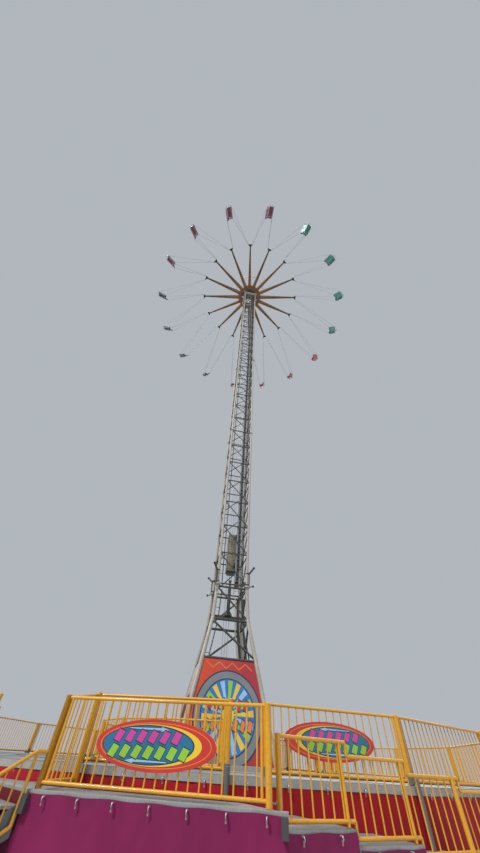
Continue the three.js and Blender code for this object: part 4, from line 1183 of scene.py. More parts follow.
class RIDE_OT_railings(bpy.types.Operator):
    """Build the railing round the deck and the inner fence round the tower"""

    bl_idname = "ride.railings"
    bl_label = "Deck railings"

    def execute(self, context):
        """Make the deck's railings."""
        look = finishes()
        for name, node, points in (
            ("deck_railing", "deck_rails", [rail_place(k) for k in (0.2, *range(1, 15), 14.4)]),
            ("front_railing", "front_rails", [rail_place(k) for k in (15.25, 16)]),
            ("inner_railing", "inner_fence", [deck_corner(k, INNER_FENCE, DECK_TOP) for k in range(2, 17)]),
        ):
            railing = Form()
            fence(railing, points, context.scene.ride_sizes)
            make_railing(railing, name, node)

        sockets = Form()
        stands_on = {0: LANDING_TOP, 1: LANDING_TOP - 3 * RISER, 2: LANDING_TOP - 6 * RISER}
        for k in range(SIDES - 1):
            out = deck_corner(k, 1)
            base = deck_corner(k, DECK_RADIUS + 0.045)
            top = base + Z * (DECK_TOP + 0.1)
            sockets.rod(base + Z * (stands_on.get(k, 0.04) + 0.01), top, 0.045, 16)
            sockets.dome(top, Z, 0.045, 0.012, 16)
            sockets.beam(top - Z * 0.05, top - Z * 0.05 - out * 0.13, 0.07, 0.05)
            sockets.box(top - Z * 0.16 - out * 0.03, (0.03, 0.12, 0.11), (out, out.cross(Z), Z))
        sockets.make("rail_sockets", [look.grey_steel], slot="frame_grey", bevel=0.005)
        return {"FINISHED"}


# Landing and flights.

EXIT_ALONG = polar(1, EXIT_TURN)
EXIT_IN = polar(1, EXIT_TURN + math.pi / 2)
EXIT_START = Vector((0.92, -12.08, 0))


def exit_point(run, depth, z=0.0):
    """A place on the exit flight: run along it, depth towards the deck."""
    point = EXIT_START + EXIT_ALONG * run + EXIT_IN * depth
    point.z = z
    return point


LANDING_RIGHT = exit_point(-0.0012, -0.22)
LANDING_LEFT = Vector((-2.95, -11.45, 0))
LANDING_BACK = Vector((-5.59, -8.58, 0))
LANDING_SIDE = Vector((1.98, -0.585, 0)).normalized()
FLIGHT_ACROSS = (LANDING_BACK - LANDING_LEFT).normalized()
FLIGHT_DOWN = Vector((-FLIGHT_ACROSS.y, FLIGHT_ACROSS.x, 0))
FLIGHT_WIDTH = (LANDING_BACK - LANDING_LEFT).length
RAIL_LEFT = LANDING_LEFT + Vector((0.12, 0.09, LANDING_TOP))
RAIL_RIGHT = LANDING_RIGHT + Vector((-0.25, 0.15, LANDING_TOP))
RAIL_END = Vector((-2.72, -9.93, LANDING_TOP))
LANDING_RAIL_HEIGHT = 1.09
RAIL_END_HEIGHT = 1.3
HANDRAIL_DEPTH = 0.76
CLOTH_TOP = LANDING_TOP - 0.03
CLOTH_CORNER = Vector((-1.2, -11.0, 0))


def deck_edge_hit(start, direction):
    """Where a level line from start meets the deck's outline."""
    best = None
    for k in range(SIDES):
        a, b = deck_corner(k, DECK_EDGE), deck_corner(k + 1, DECK_EDGE)
        edge = b - a
        cross = direction.x * edge.y - direction.y * edge.x
        if abs(cross) < 1e-9:
            continue
        gap = a - start
        t = (gap.x * edge.y - gap.y * edge.x) / cross
        s = (gap.x * direction.y - gap.y * direction.x) / cross
        if t > 0 and 0 <= s <= 1 and (best is None or t < best[0]):
            best = (t, k, start + direction * t)
    return best[1:]


def deck_between(start, end):
    """The deck's outline between two places on it, with the corners that lie between."""
    (k, a), (last, b) = start, end
    line = [a]
    while k != last:
        k = (k + 1) % SIDES
        line.append(deck_corner(k, DECK_EDGE))
    return line + [b]


def handrail(form, post, start, top, sizes):
    """A sloping handrail with its bars beside the entrance flight."""
    run = TREADS * GOING * 0.62
    high = raised(start + FLIGHT_DOWN * 0.06, top)
    low = high + FLIGHT_DOWN * run - Z * (run * RISER / GOING)
    depth = Z * HANDRAIL_DEPTH
    form.ball(high, sizes.rail_radius)
    for a, b in ((raised(post, top), high), (high, low), (high - depth, low - depth), (high, high - depth),
                 (low + Z * 0.02, raised(low, 0))):
        form.rod(a, b, sizes.rail_radius, 12)
    count = round(run / sizes.bar_pitch)
    for i in range(1, count):
        spot = high.lerp(low, i / count)
        form.rod(spot, spot - depth, sizes.bar_radius)


class RIDE_OT_landing(bpy.types.Operator):
    """Build the landing with its cloth and its railing"""

    bl_idname = "ride.landing"
    bl_label = "Landing"

    def execute(self, context):
        """Make the landing."""
        look = finishes()
        sizes = context.scene.ride_sizes
        back = deck_between(deck_edge_hit(LANDING_BACK, LANDING_SIDE), deck_edge_hit(LANDING_RIGHT, EXIT_IN))
        outline = [LANDING_LEFT, LANDING_RIGHT, *reversed(back), LANDING_BACK]
        floor = Form()
        middle = LANDING_TOP - 0.055
        floor.plate([p.xy for p in outline], (0, 0, middle), X, Y, 0.09)
        for a, b in ((LANDING_LEFT, LANDING_RIGHT), (LANDING_BACK, LANDING_LEFT)):
            out = facing_out(a, b)
            strips = ((middle, 0.012, 0.022, 0.085), (LANDING_TOP - 0.006, 0.05, 0.09, 0.01))
            for z, inset, width, depth in strips:
                shift = Z * z - out * inset
                floor.beam(a + shift, b + shift, width, depth, Z, 1)
        floor.make("landing_floor", [look.tread, look.trim], nodes=("landing",), slot="deck_plate")

        along = (LANDING_RIGHT - LANDING_LEFT).normalized()
        out = facing_out(LANDING_LEFT, LANDING_RIGHT)
        edge = Z * CLOTH_TOP
        proud = edge + out * 0.047
        inside = (CLOTH_CORNER - LANDING_BACK).normalized()
        tops = [LANDING_BACK + inside * 0.05 + edge, LANDING_LEFT + along * 0.06 + proud,
                LANDING_RIGHT - along * 0.01 + proud]
        hanging_cloth("landing_cloth", tops, 0.012, look.landing, "skirt_purple", 0.035, 11)
        fittings = Form()
        hooks(fittings, [p - out * 0.02 - Z * 0.03 for p in tops[1:]], 0.5)
        for spot in (LANDING_LEFT + along * 0.05, LANDING_RIGHT - along * 0.05):
            fittings.box(spot + out * 0.05 + Z * (LANDING_TOP - 0.14), (0.09, 0.08, 0.19), (along, out, Z), 2)
        fittings.make("landing_hooks", [look.zinc, look.strap, look.dark_steel], slot="bare_steel")

        rail = Form()
        fence(rail, [RAIL_LEFT, RAIL_RIGHT], sizes, LANDING_RAIL_HEIGHT, socket=False)
        fence(rail, [RAIL_LEFT, RAIL_END], sizes, LANDING_RAIL_HEIGHT, RAIL_END_HEIGHT, False)
        handrail(rail, RAIL_LEFT, LANDING_LEFT - FLIGHT_ACROSS * 0.02, LANDING_TOP + 0.4, sizes)
        make_railing(rail, "landing_railing", "landing_rail")
        queue = Form()
        post = LANDING_BACK - FLIGHT_ACROSS * 0.12 - FLIGHT_DOWN * 0.06 + Z * LANDING_TOP
        fence(queue, [post], sizes, socket=False)
        handrail(queue, post, LANDING_BACK + FLIGHT_ACROSS * 0.02, LANDING_TOP + RAIL_HEIGHT, sizes)
        make_railing(queue, "queue_railing", "queue_rail")

        chain = Form()
        a, b = RAIL_RIGHT + Z * 0.1, exit_point(0.07, 0.08, LANDING_TOP + 0.1)
        ahead = (b - a).normalized()
        links = 16
        for i in range(links):
            share = (i + 0.5) / links
            centre = a.lerp(b, share) - Z * (0.05 * math.sin(math.pi * share))
            side = ahead.cross(Z).normalized() if i % 2 else Z
            link = [centre + ahead * (0.014 * c) + side * (0.008 * s) for c, s in round_points(8)]
            chain.tube(link, 0.0025, 5, 0, True)
        chain.make("gap_chain", [look.zinc], slot="bare_steel")
        return {"FINISHED"}


class RIDE_OT_entrance_flight(bpy.types.Operator):
    """Build the entrance flight with its treads, risers and side plates"""

    bl_idname = "ride.entrance_flight"
    bl_label = "Entrance flight"

    def execute(self, context):
        """Make the flight."""
        look = finishes()
        flight = Form()
        width = FLIGHT_WIDTH - 0.12
        axes = (FLIGHT_DOWN, FLIGHT_ACROSS, Z)
        middle = LANDING_LEFT + FLIGHT_ACROSS * (FLIGHT_WIDTH / 2)
        for k in range(TREADS):
            top = LANDING_TOP - (k + 1) * RISER
            tread = middle + FLIGHT_DOWN * ((k + 0.5) * GOING) + Z * (top - 0.02)
            nosing = tread + FLIGHT_DOWN * (GOING / 2 - 0.012) + Z * 0.006
            riser = middle + FLIGHT_DOWN * (k * GOING + 0.006) + Z * (top + RISER / 2 - 0.02)
            flight.box(tread, (GOING, width, 0.036), axes)
            flight.box(nosing, (0.024, width, 0.03), axes, 3)
            flight.box(riser, (0.008, width, RISER - 0.04), axes, 1)
        top, run = LANDING_TOP - RISER, TREADS * GOING
        side_plate = [(0, top + 0.05), (run + 0.02, 0.03), (run + 0.02, 0), (run - 0.15, 0), (0, top - 0.3)]
        for side in (-1, 1):
            edge = middle + FLIGHT_ACROSS * (side * (width / 2 + 0.012))
            flight.plate(side_plate, edge, FLIGHT_DOWN, Z, 0.02, 2)
        flight.make("entrance_flight_dressed", [look.tread, look.red_paint, look.grey_steel, look.trim],
                    nodes=("entrance_stairs",), slot="deck_plate")
        return {"FINISHED"}


EXIT_RAIL_DEPTH = 0.08
EXIT_RAIL_HEIGHT = 0.92
EXIT_RAIL_FOOT = 0.06
EXIT_RAIL_SETBACK = 0.07


class RIDE_OT_exit_flight(bpy.types.Operator):
    """Build the long low exit steps with their cloth and stepped railing"""

    bl_idname = "ride.exit_flight"
    bl_label = "Exit flight"

    def execute(self, context):
        """Make the exit steps."""
        look = finishes()
        steps = Form()
        fittings = Form()
        for k in range(TREADS):
            top = LANDING_TOP - (k + 1) * RISER
            edge = top - 0.04
            low, high = k * EXIT_RUN + 0.001, (k + 1) * EXIT_RUN - 0.001
            a, b = exit_point(low, 0), exit_point(high, 0)
            back = deck_between(deck_edge_hit(a, EXIT_IN), deck_edge_hit(b, EXIT_IN))
            steps.plate([p.xy for p in (a, b, *reversed(back))], (0, 0, top - 0.03), X, Y, 0.055)
            shift = EXIT_IN * 0.012
            steps.beam(raised(a, edge) + shift, raised(b, edge) + shift, 0.022, 0.075, Z, 1)
            shift = EXIT_ALONG * -0.012
            steps.beam(raised(b, edge) + shift, raised(back[-1], edge) + shift, 0.022, 0.075, Z, 1)
            if top < 0.2:
                continue
            shift = EXIT_ALONG * -0.03
            z = top / 2 - 0.03
            steps.beam(raised(b, z) + shift, raised(back[-1], z) + shift, 0.02, top - 0.08, Z, 2)
            line = [exit_point(run, -0.042, top - 0.03) for run in (low + 0.01, high - 0.01)]
            hanging_cloth(f"exit_cloth_{k + 1}", line, 0.012, look.landing, "skirt_purple", 0.03,
                          21 + k)
            hooks(fittings, [p + EXIT_IN * 0.02 - Z * 0.03 for p in line], 0.6)
        steps.make("exit_steps_dressed", [look.tread, look.trim, look.red_paint], nodes=("exit_steps",),
                   slot="deck_plate")
        fittings.make("exit_hooks", [look.zinc, look.strap], slot="bare_steel")
        self.railing(context.scene.ride_sizes)
        return {"FINISHED"}

    @staticmethod
    def railing(sizes):
        """The railing, which steps down with the treads."""
        rail = Form()
        radius = sizes.rail_radius
        foot, height = EXIT_RAIL_FOOT, EXIT_RAIL_HEIGHT

        def bar(run, low, high, radius, sides=12, end=None):
            start = exit_point(run, EXIT_RAIL_DEPTH, low)
            rail.rod(start, exit_point(run if end is None else end, EXIT_RAIL_DEPTH, high), radius, sides)

        for k in range(TREADS):
            top = LANDING_TOP - (k + 1) * RISER
            last = k + 1 == TREADS
            low = k * EXIT_RUN + EXIT_RAIL_SETBACK
            high = (k + 1) * EXIT_RUN + (-0.05 if last else EXIT_RAIL_SETBACK)
            rise = RISER if k else 0
            for level in (foot, height):
                bar(low, top + level, top + level, radius, end=high)
            bar(low, top + (foot if k else 0.004), top + foot + rise, radius)
            bar(low, top + (height if k else foot), top + height + rise, radius)
            bar(high - 0.15, top + 0.004, top + height, radius * 1.2)
            count = round((high - low) / (sizes.bar_pitch * 1.18))
            for i in range(count + last):
                bar(low + (high - low) * i / count, top + foot, top + height, sizes.bar_radius, 8)
        for treads, run in ((1, EXIT_RAIL_SETBACK), (3, 3 * EXIT_RUN - 0.1), (6, 6 * EXIT_RUN - 0.12)):
            top = LANDING_TOP - treads * RISER
            bar(run, top + 0.004, top + height + 0.03, 0.045, 16)
        make_railing(rail, "exit_railing", "exit_rail")


SIGN_WIDTH = 2.055
SIGN_HEIGHT = 0.597
SIGN_THICKNESS = 0.036
SKIN = 0.0012


class RIDE_OT_signs(bpy.types.Operator):
    """Build the two oval signs"""

    bl_idname = "ride.signs"
    bl_label = "Oval signs"

    def execute(self, context):
        """Make both signs."""
        self.oval_sign("entrance_sign", RAIL_LEFT, RAIL_RIGHT, 0.5, 1.73, 1)
        self.oval_sign("exit_sign", deck_corner(0, RAIL_LINE), deck_corner(1, RAIL_LINE), 0.555, 1.99, -1)
        return {"FINISHED"}

    @staticmethod
    def oval_sign(node, a, b, share, z, way):
        """A rimmed oval with a crescent, two rows of lozenges and two plain arrows."""
        look = finishes()
        right, out = (b - a).normalized(), facing_out(a, b)
        centre = raised(a.lerp(b, share), z) + out * 0.0425
        sign = Form()
        sign.plate(oval(SIGN_WIDTH, SIGN_HEIGHT, 72), centre, right, Z, SIGN_THICKNESS)

        def layer(outline, level, finish):
            face = centre + out * (SIGN_THICKNESS / 2 + SKIN * level)
            sign.plate(outline, face, right, Z, SKIN, finish)

        for width, height, shift, level, finish in (
            (1.90, 0.52, 0, 0.2, 1), (1.87, 0.50, 0, 0.6, 0), (1.70, 0.475, 0.06, 1.0, 3),
            (1.58, 0.455, 0.12, 1.4, 7), (1.545, 0.43, 0.125, 1.8, 2),
        ):
            layer([(u - shift * way, v) for u, v in oval(width, height, 72)], level, finish)
        for v, count, finish, start in ((0.09, 6, 5, -0.02), (-0.085, 7, 6, 0.03)):
            for i in range(count):
                u = (i - (count - 1) / 2) * 0.2 - 0.125 * way + start
                layer(lozenge(u, v, 0.21, 0.186), 3.0, 7)
                layer(lozenge(u, v, 0.182, 0.158), 3.4, finish)
        for lean in (1, -1):
            v, ahead = 0.183 * lean, lean * way
            head, tail = (0.20 * lean - 0.125) * way, (-0.36 * lean - 0.125) * way
            for grow, level, finish in ((0.009, 2.2, 7), (0.0, 2.6, 4)):
                end = tail - grow * ahead
                arrow = [(end, v - 0.006 - grow), (head, v - 0.015 - grow), (head, v - 0.03 - grow),
                         (head + (0.14 + grow) * ahead, v - 0.004), (head, v + 0.028 + grow),
                         (head, v + 0.015 + grow), (end, v + 0.006 + grow)]
                layer(arrow, level, finish)
        art = [look.art[key] for key in ("red", "orange", "teal", "yellow", "sky", "pink", "green", "navy")]
        sign.make(f"{node}_dressed", art, nodes=(node,), slot="sign_blue")


# Carriage and star.

CARRIAGE_LOW = STAR - 1.5
CARRIAGE_HIGH = STAR + 0.45
RING_RADIUS = 1.39


class RIDE_OT_carriage(bpy.types.Operator):
    """Build the lift carriage that climbs the tower"""

    bl_idname = "ride.carriage"
    bl_label = "Lift carriage"

    def execute(self, context):
        """Make the carriage."""
        look = finishes()
        body = Form()
        low, high = CARRIAGE_LOW, CARRIAGE_HIGH
        for corner, other in CORNER_PAIRS:
            body.box(turned((*corner, (low + high) / 2)), (0.085, 0.085, high - low), TOWER_AXES)
            for z in (low + 0.05, STAR - 0.75, high - 0.05):
                body.beam(turned((*corner, z)), turned((*other, z)), 0.065, 0.085)
            for a, b in ((corner, other), (other, corner)):
                body.beam(turned((*a, low + 0.08)), turned((*b, STAR - 0.78)), 0.04, 0.04)
            for z in (low + 0.12, high - 0.12):
                self.roller(body, *corner, z, False)
                self.roller(body, *corner, z, True)
        body.ring(RING_RADIUS, 1.57, -0.3, 0.195, (0, 0, STAR), 72, 1)
        # Dark plates fill the ring around the tower: a carriage deck, made dark as painted shade for the
        # shadowed structure inside the ring.
        arc = [polar(RING_RADIUS, math.radians(-45 - 90 * i / 12)).xy for i in range(13)]
        for k in range(4):
            spin = Matrix.Rotation(TOWER_TURN + k * TURN / 4, 3, "Z")
            outline = [(-0.957, -0.957), (0.957, -0.957), *arc]
            body.plate(outline, (0, 0, STAR - 0.28), spin @ X, spin @ Y, 0.036, 4)
        for i in range(36):
            bolt = polar(1.48, TURN * i / 36, STAR - 0.3)
            body.rod(bolt, bolt - Z * 0.04, 0.02, 6, 2)
        for x, y in CORNERS:
            body.beam(turned((x, y, STAR - 1.0)), turned((x * 1.06, y * 1.06, STAR - 0.28)), 0.07, 0.07)
        fin = [(0.11, 0), (0.125, 0.008), (0.125, 0.02), (0.11, 0.028)]
        for side in (-1, 1):
            motor = turned((side * 1.22, 0, STAR - 0.62))
            shelf = STAR - 0.75
            body.beam(turned((side, 0, shelf)), turned((side * 1.3, 0, shelf)), 0.3, 0.04)
            body.rod(motor - Z * 0.1, motor + Z * 0.26, 0.11, 20, 3)
            for i in range(5):
                body.turn(fin, motor + Z * (0.06 * (i - 1)), Z, 20, 3)
        paints = [look.pale, look.grey_steel, look.zinc, look.blue_grey, look.dark_steel]
        body.make("carriage_dressed", paints, "lift_carriage", nodes=("carriage",), slot="carriage_grey")
        return {"FINISHED"}

    @staticmethod
    def roller(body, sx, sy, z, sideways):
        """A guide roller in its fork, rolling on a corner tube."""
        reach = TOWER_HALF + TUBE + 0.028
        if sideways:
            centre, axis, out = turned((sx * TOWER_HALF, sy * reach, z)), TOWER_X, TOWER_Y * sy
        else:
            centre, axis, out = turned((sx * reach, sy * TOWER_HALF, z)), TOWER_Y, TOWER_X * sx
        wheel = [(0.004, -0.022), (0.026, -0.022), (0.021, 0), (0.026, 0.022), (0.004, 0.022)]
        body.turn(wheel, centre, axis, 16, 3, False)
        for side in (-0.03, 0.03):
            body.box(centre + axis * side + out * 0.02, (0.07, 0.008, 0.12), (out, axis, Z), 1)


ARM_START = 1.9
ARM_END = ARM_TIP - 0.23
ARM_UPPER = 0.155


def arm_section(radius):
    """Half width and depth of an arm at a radius."""
    share = (radius - 1.86) / (ARM_TIP - 0.22 - 1.86)
    return 0.25 - 0.15 * share, 0.5 - 0.34 * share


class RIDE_OT_star(bpy.types.Operator):
    """Build the turning drum and the sixteen arms with their lamps"""

    bl_idname = "ride.star"
    bl_label = "Star"

    def execute(self, context):
        """Make the drum and the arms."""
        look = finishes()
        centre = (0, 0, STAR)
        drum = Form()
        profile = [(1.61, -0.34), (1.84, -0.34), (1.84, 0.275), (1.53, 0.275), (1.53, 0.205), (1.61, 0.205)]
        drum.turn(profile, centre, Z, 96, 0, False, True)
        for i in range(64):
            drum.dome(polar(1.725, TURN * i / 64, STAR - 0.34), -Z, 0.032, 0.03, 8, 1)
        drum.make("star_drum", [look.star, look.amber], "star", nodes=("star_hub",), slot="star_orange")

        arms = Form()
        lamps = Form()
        arms.ring(1.845, 1.955, -0.3, ARM_UPPER, centre, 96)
        for level in (-0.29, 0.145):
            arms.ring(1.95, 1.964, level - 0.012, level + 0.012, centre, 96, 1)
        for k in range(ARMS):
            self.arm(arms, lamps, FIRST_ARM + k * STEP, context.scene.ride_sizes.lamp_pitch)
        arms.make("star_arms_dressed", [look.star, look.tan, look.rubber, look.grey_steel], "star",
                  nodes=("star_arms",), slot="star_orange")
        lamps.make("arm_lamps", [look.amber], "star", slot="star_orange")
        return {"FINISHED"}

    @staticmethod
    def arm(arms, lamps, angle, pitch):
        """One tapered box arm with pale edges, ribs, lamps and a forked tip."""
        out, across = polar(1, angle), polar(1, angle + math.pi / 2)

        def place(radius, aside=0.0, rise=0.0):
            return out * radius + across * aside + Z * (STAR + rise)

        stations = 12
        points = []
        for i in range(stations + 1):
            radius = ARM_START + (ARM_END - ARM_START) * i / stations
            half, depth = arm_section(radius)
            half -= 0.012
            under = ARM_UPPER - depth + 0.02
            points += [place(radius, side, z) for side, z in (
                (-half, ARM_UPPER), (half, ARM_UPPER), (half, under), (-half, under))]
        faces = [(0, 3, 2, 1), tuple(stations * 4 + j for j in range(4))]
        for start in range(0, stations * 4, 4):
            for j in range(4):
                a, b = start + j, start + (j + 1) % 4
                faces.append((a, b, b + 4, a + 4))
        arms.add(points, faces)
        for side in (-1, 1):
            for deep in (True, False):
                ends = []
                for radius in (ARM_START, ARM_END):
                    half, depth = arm_section(radius)
                    drop = depth - 0.016 if deep else 0.01
                    ends.append(place(radius, side * (half - 0.014), ARM_UPPER - drop))
                arms.beam(*ends, 0.028, 0.03, Z, 1)
        radius = ARM_START + 0.2
        while radius < ARM_END - 0.2:
            half, depth = arm_section(radius)
            under = ARM_UPPER - depth + 0.014
            ends = [place(radius, side * (half - 0.03), under) for side in (-1, 1)]
            arms.beam(*ends, 0.03, 0.014, Z, 1 if radius < 4 else 0)
            if radius < ARM_TIP - 1.9:
                for side in (-0.5, 0.5):
                    lamp = place(radius + pitch / 2, side * half, under + 0.004)
                    lamps.dome(lamp, -Z, min(0.036, half * 0.38), 0.03)
            radius += pitch
        inner, outer, wide = ARM_TIP - 0.3, ARM_TIP + 0.025, FORK_HALF + 0.025
        head = [(inner, -0.1), (outer - 0.1, -wide), (outer, -wide), (outer, wide), (outer - 0.1, wide),
                (inner, 0.1)]
        arms.plate(head, place(0, 0, 0.02), out, across, 0.074, 2)
        arms.beam(place(ARM_TIP - 0.34, 0, 0.07), place(ARM_TIP - 0.2, 0, 0.07), 0.226, 0.19, Z, 2)
        arms.rod(*(place(ARM_TIP, side * (FORK_HALF + 0.02), 0.02) for side in (-1, 1)), 0.036, 12, 2)
        for side in (-1, 1):
            away, along = (polar(1, angle + side * STEP / 2 + quarter) for quarter in (0, math.pi / 2))
            pin = away * HINGE_RADIUS - along * (side * HINGE_HALF) + Z * (STAR - HINGE_DROP)
            arms.box(pin + Z * 0.05, (0.13, 0.034, 0.22), (away, along, Z), 2)
            arms.rod(pin - along * 0.045, pin + along * 0.045, 0.018, 10, 3)


# Gondolas.

# The shell's side view as (forward, up) places, from its front lip to the top of its back.
SHELL_LINE = (
    (0.30, 0.05), (0.295, 0.115), (0.255, 0.15), (0.13, 0.13), (0.0, 0.11), (-0.12, 0.105), (-0.20, 0.13),
    (-0.265, 0.20), (-0.325, 0.33), (-0.39, 0.47), (-0.455, 0.61), (-0.51, 0.72), (-0.545, 0.785),
)
SHELL_ROWS = 26
SHELL_COLUMNS = 29
SEAT_HIGH = 0.3


def seat_shell():
    """A double bucket shell as a curved sheet, in the gondola's hanging frame."""
    points = []
    for i in range(SHELL_ROWS + 1):
        lift = i / SHELL_ROWS
        place = lift * (len(SHELL_LINE) - 1)
        j = min(int(place), len(SHELL_LINE) - 2)
        y, z = (a + (b - a) * (place - j) for a, b in zip(SHELL_LINE[j], SHELL_LINE[j + 1]))
        taper = 1 - 0.05 * math.sin(math.pi * min(1, lift * 1.05))
        for j in range(SHELL_COLUMNS + 1):
            u = -1 + 2 * j / SHELL_COLUMNS
            wing = max(0.0, (abs(u) - 0.84) / 0.16) ** 2
            middle = math.exp(-(u / 0.09) ** 2)
            bucket = math.cos(math.pi * (abs(u) * 2 - 1) / 2)
            dish = 0.035 * bucket
            if z < SEAT_HIGH:
                deep = y
                height = z + wing * 0.28 * (1 if lift > 0.06 else 0.3)
                height -= dish if lift > 0.08 else 0
                height += 0.05 * middle if 0.1 < lift < 0.5 else 0
            else:
                deep = y - dish * 0.6 + wing * 0.13
                height = z - 0.03 * (1 - bucket) * (z - SEAT_HIGH) - (0.05 * middle if z > 0.6 else 0)
            points.append((u * (BENCH_HALF - 0.03) * taper, deep, height + BENCH_BOTTOM))
    width = SHELL_COLUMNS + 1
    faces = [(a, a + 1, a + width + 1, a + width)
             for i in range(SHELL_ROWS) for a in range(i * width, i * width + SHELL_COLUMNS)]
    shell = Form()
    shell.add(points, faces, 0, True)
    return shell


WIRE = 0.007


def chain_run(form, a, b, pitch):
    """A straight chain of long links from a to b, each a quarter turn from the last."""
    ahead = (b - a).normalized()
    side = ahead.orthogonal().normalized()
    up = ahead.cross(side)
    count = round((b - a).length / pitch)
    step = (b - a).length / count
    long_half, wide = step * 0.5 + WIRE * 0.9, step * 0.22 + WIRE * 0.5
    profile = ((-1.0, 0.0), (-0.62, 1.0), (0.62, 1.0), (1.0, 0.0), (0.62, -1.0), (-0.62, -1.0))
    for i in range(count):
        centre = a + ahead * (step * (i + 0.5))
        flat = side if i % 2 else up
        deep = ahead.cross(flat)
        points = []
        for u, v in profile:
            middle = centre + ahead * (u * long_half) + flat * (v * wide)
            outward = (ahead * u * 0.6 + flat * v).normalized()
            points += [middle + WIRE * (outward * along + deep * aside)
                       for along, aside in ((1, 0), (-0.5, 0.87), (-0.5, -0.87))]
        faces = []
        for j in range(6):
            low, high = j * 3, (j + 1) % 6 * 3
            faces += [(low + c, low + (c + 1) % 3, high + (c + 1) % 3, high + c) for c in range(3)]
        form.add(points, faces, 0, True)


def gondola_rigging(pitch):
    """Chains, seat frame, lap bar and foot rest, in the gondola's hanging frame."""
    rig = Form()
    eye = HINGE_HALF - 0.06
    end = BENCH_HALF - 0.025
    foot = BENCH_BOTTOM
    back, front = BACK_TOP, BENCH_FRONT
    for sy in (-1, 1):
        centre = Vector((0, sy * eye, 0))
        rig.ring(0.022, 0.058, -0.036, 0.036, centre, 20, 1, Y)
        rig.plate([(-0.07, -0.2), (0.07, -0.2), (0.045, -0.04), (-0.045, -0.04)], centre, X, Z, 0.02, 1)
        for sx in (-1, 1):
            low = Vector((sx * end, back, foot + 0.72) if sy < 0 else (sx * end, front, foot + 0.37))
            high = centre + Vector((sx * 0.05, 0, -0.19))
            towards = (low - high).normalized()
            chain_run(rig, high, low - towards * 0.06, pitch)
            rig.rod(low - towards * 0.07, low, 0.016, 10, 1)
    for x in (-end, end):
        for radius, finish, line in (
            (0.02, 1, ((back - 0.015, 0.78), (-0.31, 0.1), (-0.27, 0.022), (front - 0.04, 0.022),
                       (front, 0.06), (front, 0.38))),
            (0.018, 2, ((front, 0.375), (0.0, 0.415), (-0.2, 0.44), (back + 0.03, 0.76))),
        ):
            rig.tube([(x, y, foot + z) for y, z in line], radius, 10, finish)
    for y, z, radius, sides, finish in (
        (-0.27, 0.022, 0.02, 10, 1), (front - 0.04, 0.022, 0.02, 10, 1), (front, 0.35, 0.024, 14, 2),
    ):
        rig.rod((-end, y, foot + z), (end, y, foot + z), radius, sides, finish)
    for x in (-0.36, 0.36):
        line = ((front, 0.35), (front - 0.03, 0.25), (front - 0.05, 0.17))
        rig.tube([(x, y, foot + z) for y, z in line], 0.016, 10, 2)
    return rig


class RIDE_OT_gondolas(bpy.types.Operator):
    """Build the sixteen two-seat gondolas on their chains"""

    bl_idname = "ride.gondolas"
    bl_label = "Gondolas"

    def execute(self, context):
        """Make every gondola with a shell and a copy of one set of chains."""
        look = finishes()
        slots = ("gondola_magenta", "gondola_green", "gondola_red", "gondola_blue")
        rigging = gondola_rigging(context.scene.ride_sizes.link_pitch)
        chains = rigging.mesh("gondola_rigging", [look.chain, look.zinc, look.rubber])
        for k in range(ARMS):
            label = f"gondola_{k + 1:02d}"
            swing = MEAN_SWING + WIND_LEAN * math.cos((k - LEE_GONDOLA) * STEP)
            place = (Matrix.Translation((0, 0, STAR * HALF_SIZE))
                     @ Matrix.Rotation(FIRST_ARM + (k + 0.5) * STEP, 4, "Z")
                     @ Matrix.Translation((HINGE_RADIUS * HALF_SIZE, 0, -HINGE_DROP * HALF_SIZE))
                     @ Matrix.Rotation(-swing, 4, "Y"))
            group = (k + 3) % ARMS // 4
            shell = seat_shell().make(f"{label}_shell", [look.shells[group]], label, (label,), slots[group])
            skin = shell.modifiers.new("skin", "SOLIDIFY")
            skin.thickness = 0.03 * HALF_SIZE
            skin.offset = -1
            shell.data.transform(place)
            rig = bpy.data.objects.new(f"{label}_rigging", chains.copy())
            rig.data.transform(place)
            context.scene.collection.objects.link(rig)
            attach(rig, label)
        return {"FINISHED"}


WEIGHT_MIDDLE = 10.5
WEIGHT_HEIGHT = 2.4
WEIGHT_SLABS = 14


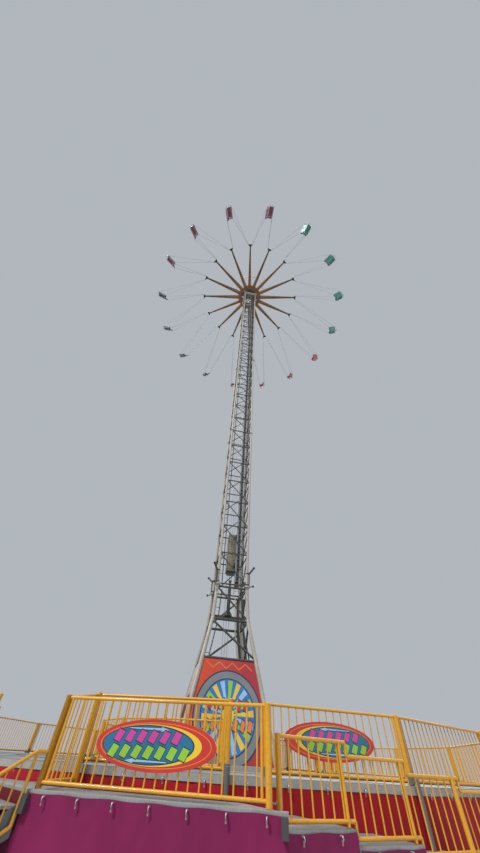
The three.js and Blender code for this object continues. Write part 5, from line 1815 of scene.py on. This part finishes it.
class RIDE_OT_counterweight(bpy.types.Operator):
    """Build the ribbed counterweight inside the tower"""

    bl_idname = "ride.counterweight"
    bl_label = "Counterweight"

    def execute(self, context):
        """Make the counterweight."""
        look = finishes()
        weight = Form()
        base, top = WEIGHT_MIDDLE - WEIGHT_HEIGHT / 2, WEIGHT_MIDDLE + WEIGHT_HEIGHT / 2
        slab = WEIGHT_HEIGHT / WEIGHT_SLABS
        for i in range(WEIGHT_SLABS):
            weight.box((0, 0, base + (i + 0.5) * slab), (0.6, 0.48, slab - 0.014), TOWER_AXES)
        for z, size in (
            (WEIGHT_MIDDLE, (0.56, 0.44, WEIGHT_HEIGHT - 0.02)),
            (base + 0.03, (0.61, 0.49, 0.06)),
            (base - 0.045, (0.46, 0.4, 0.09)),
        ):
            weight.box((0, 0, z), size, TOWER_AXES, 1)
        for sx, sy in CORNERS:
            place = (sx * 0.29, sy * 0.23)
            weight.rod(turned((*place, base)), turned((*place, top)), 0.018, 8, 1)
        # Shoes that reach from the slabs to the guide tube and to the ladder.
        face, back = GUIDE.y + 0.052, TOWER_HALF - 0.146
        for z in (base + 0.3, top - 0.3):
            weight.box(turned((GUIDE.x, (face - 0.2) / 2, z)), (0.18, -0.2 - face, 0.18), TOWER_AXES, 1)
            weight.box(turned((GUIDE.x * 2, (back + 0.2) / 2, z)), (0.22, back - 0.2, 0.18), TOWER_AXES, 1)
        weight.make("counterweight_dressed", [look.weight, look.dark_steel], "counterweight",
                    ("counterweight",), "weight_grey", 0.005)
        return {"FINISHED"}


class RIDE_PT_panel(bpy.types.Panel):
    """Lists the ride's builders, sizes and colours"""

    bl_idname = "RIDE_PT_panel"
    bl_label = "Swing Ride"
    bl_space_type = "VIEW_3D"
    bl_region_type = "UI"
    bl_category = "Swing Ride"

    def draw(self, context):
        """Draw the buttons and the properties."""
        layout = self.layout
        for builder in BUILDERS:
            layout.operator(builder.bl_idname)
        for group in (context.scene.ride_sizes, context.scene.ride_colours):
            box = layout.box()
            for name in group.__annotations__:
                box.prop(group, name)


BUILDERS = (
    RIDE_OT_stage, RIDE_OT_tower, RIDE_OT_foot, RIDE_OT_panels, RIDE_OT_head, RIDE_OT_deck, RIDE_OT_railings,
    RIDE_OT_landing, RIDE_OT_entrance_flight, RIDE_OT_exit_flight, RIDE_OT_signs, RIDE_OT_carriage,
    RIDE_OT_star, RIDE_OT_gondolas, RIDE_OT_counterweight,
)
CLASSES = (RideSizes, RideColours, *BUILDERS, RIDE_PT_panel)


def register():
    """Register the classes and the scene's properties."""
    for cls in CLASSES:
        bpy.utils.register_class(cls)
    bpy.types.Scene.ride_sizes = bpy.props.PointerProperty(type=RideSizes)
    bpy.types.Scene.ride_colours = bpy.props.PointerProperty(type=RideColours)


def unregister():
    """Remove the properties and the classes."""
    del bpy.types.Scene.ride_colours
    del bpy.types.Scene.ride_sizes
    for cls in reversed(CLASSES):
        bpy.utils.unregister_class(cls)


def main():
    """Build the ride."""
    register()
    for builder in BUILDERS:
        group, name = builder.bl_idname.split(".")
        getattr(getattr(bpy.ops, group), name)()


if __name__ == "__main__":
    main()
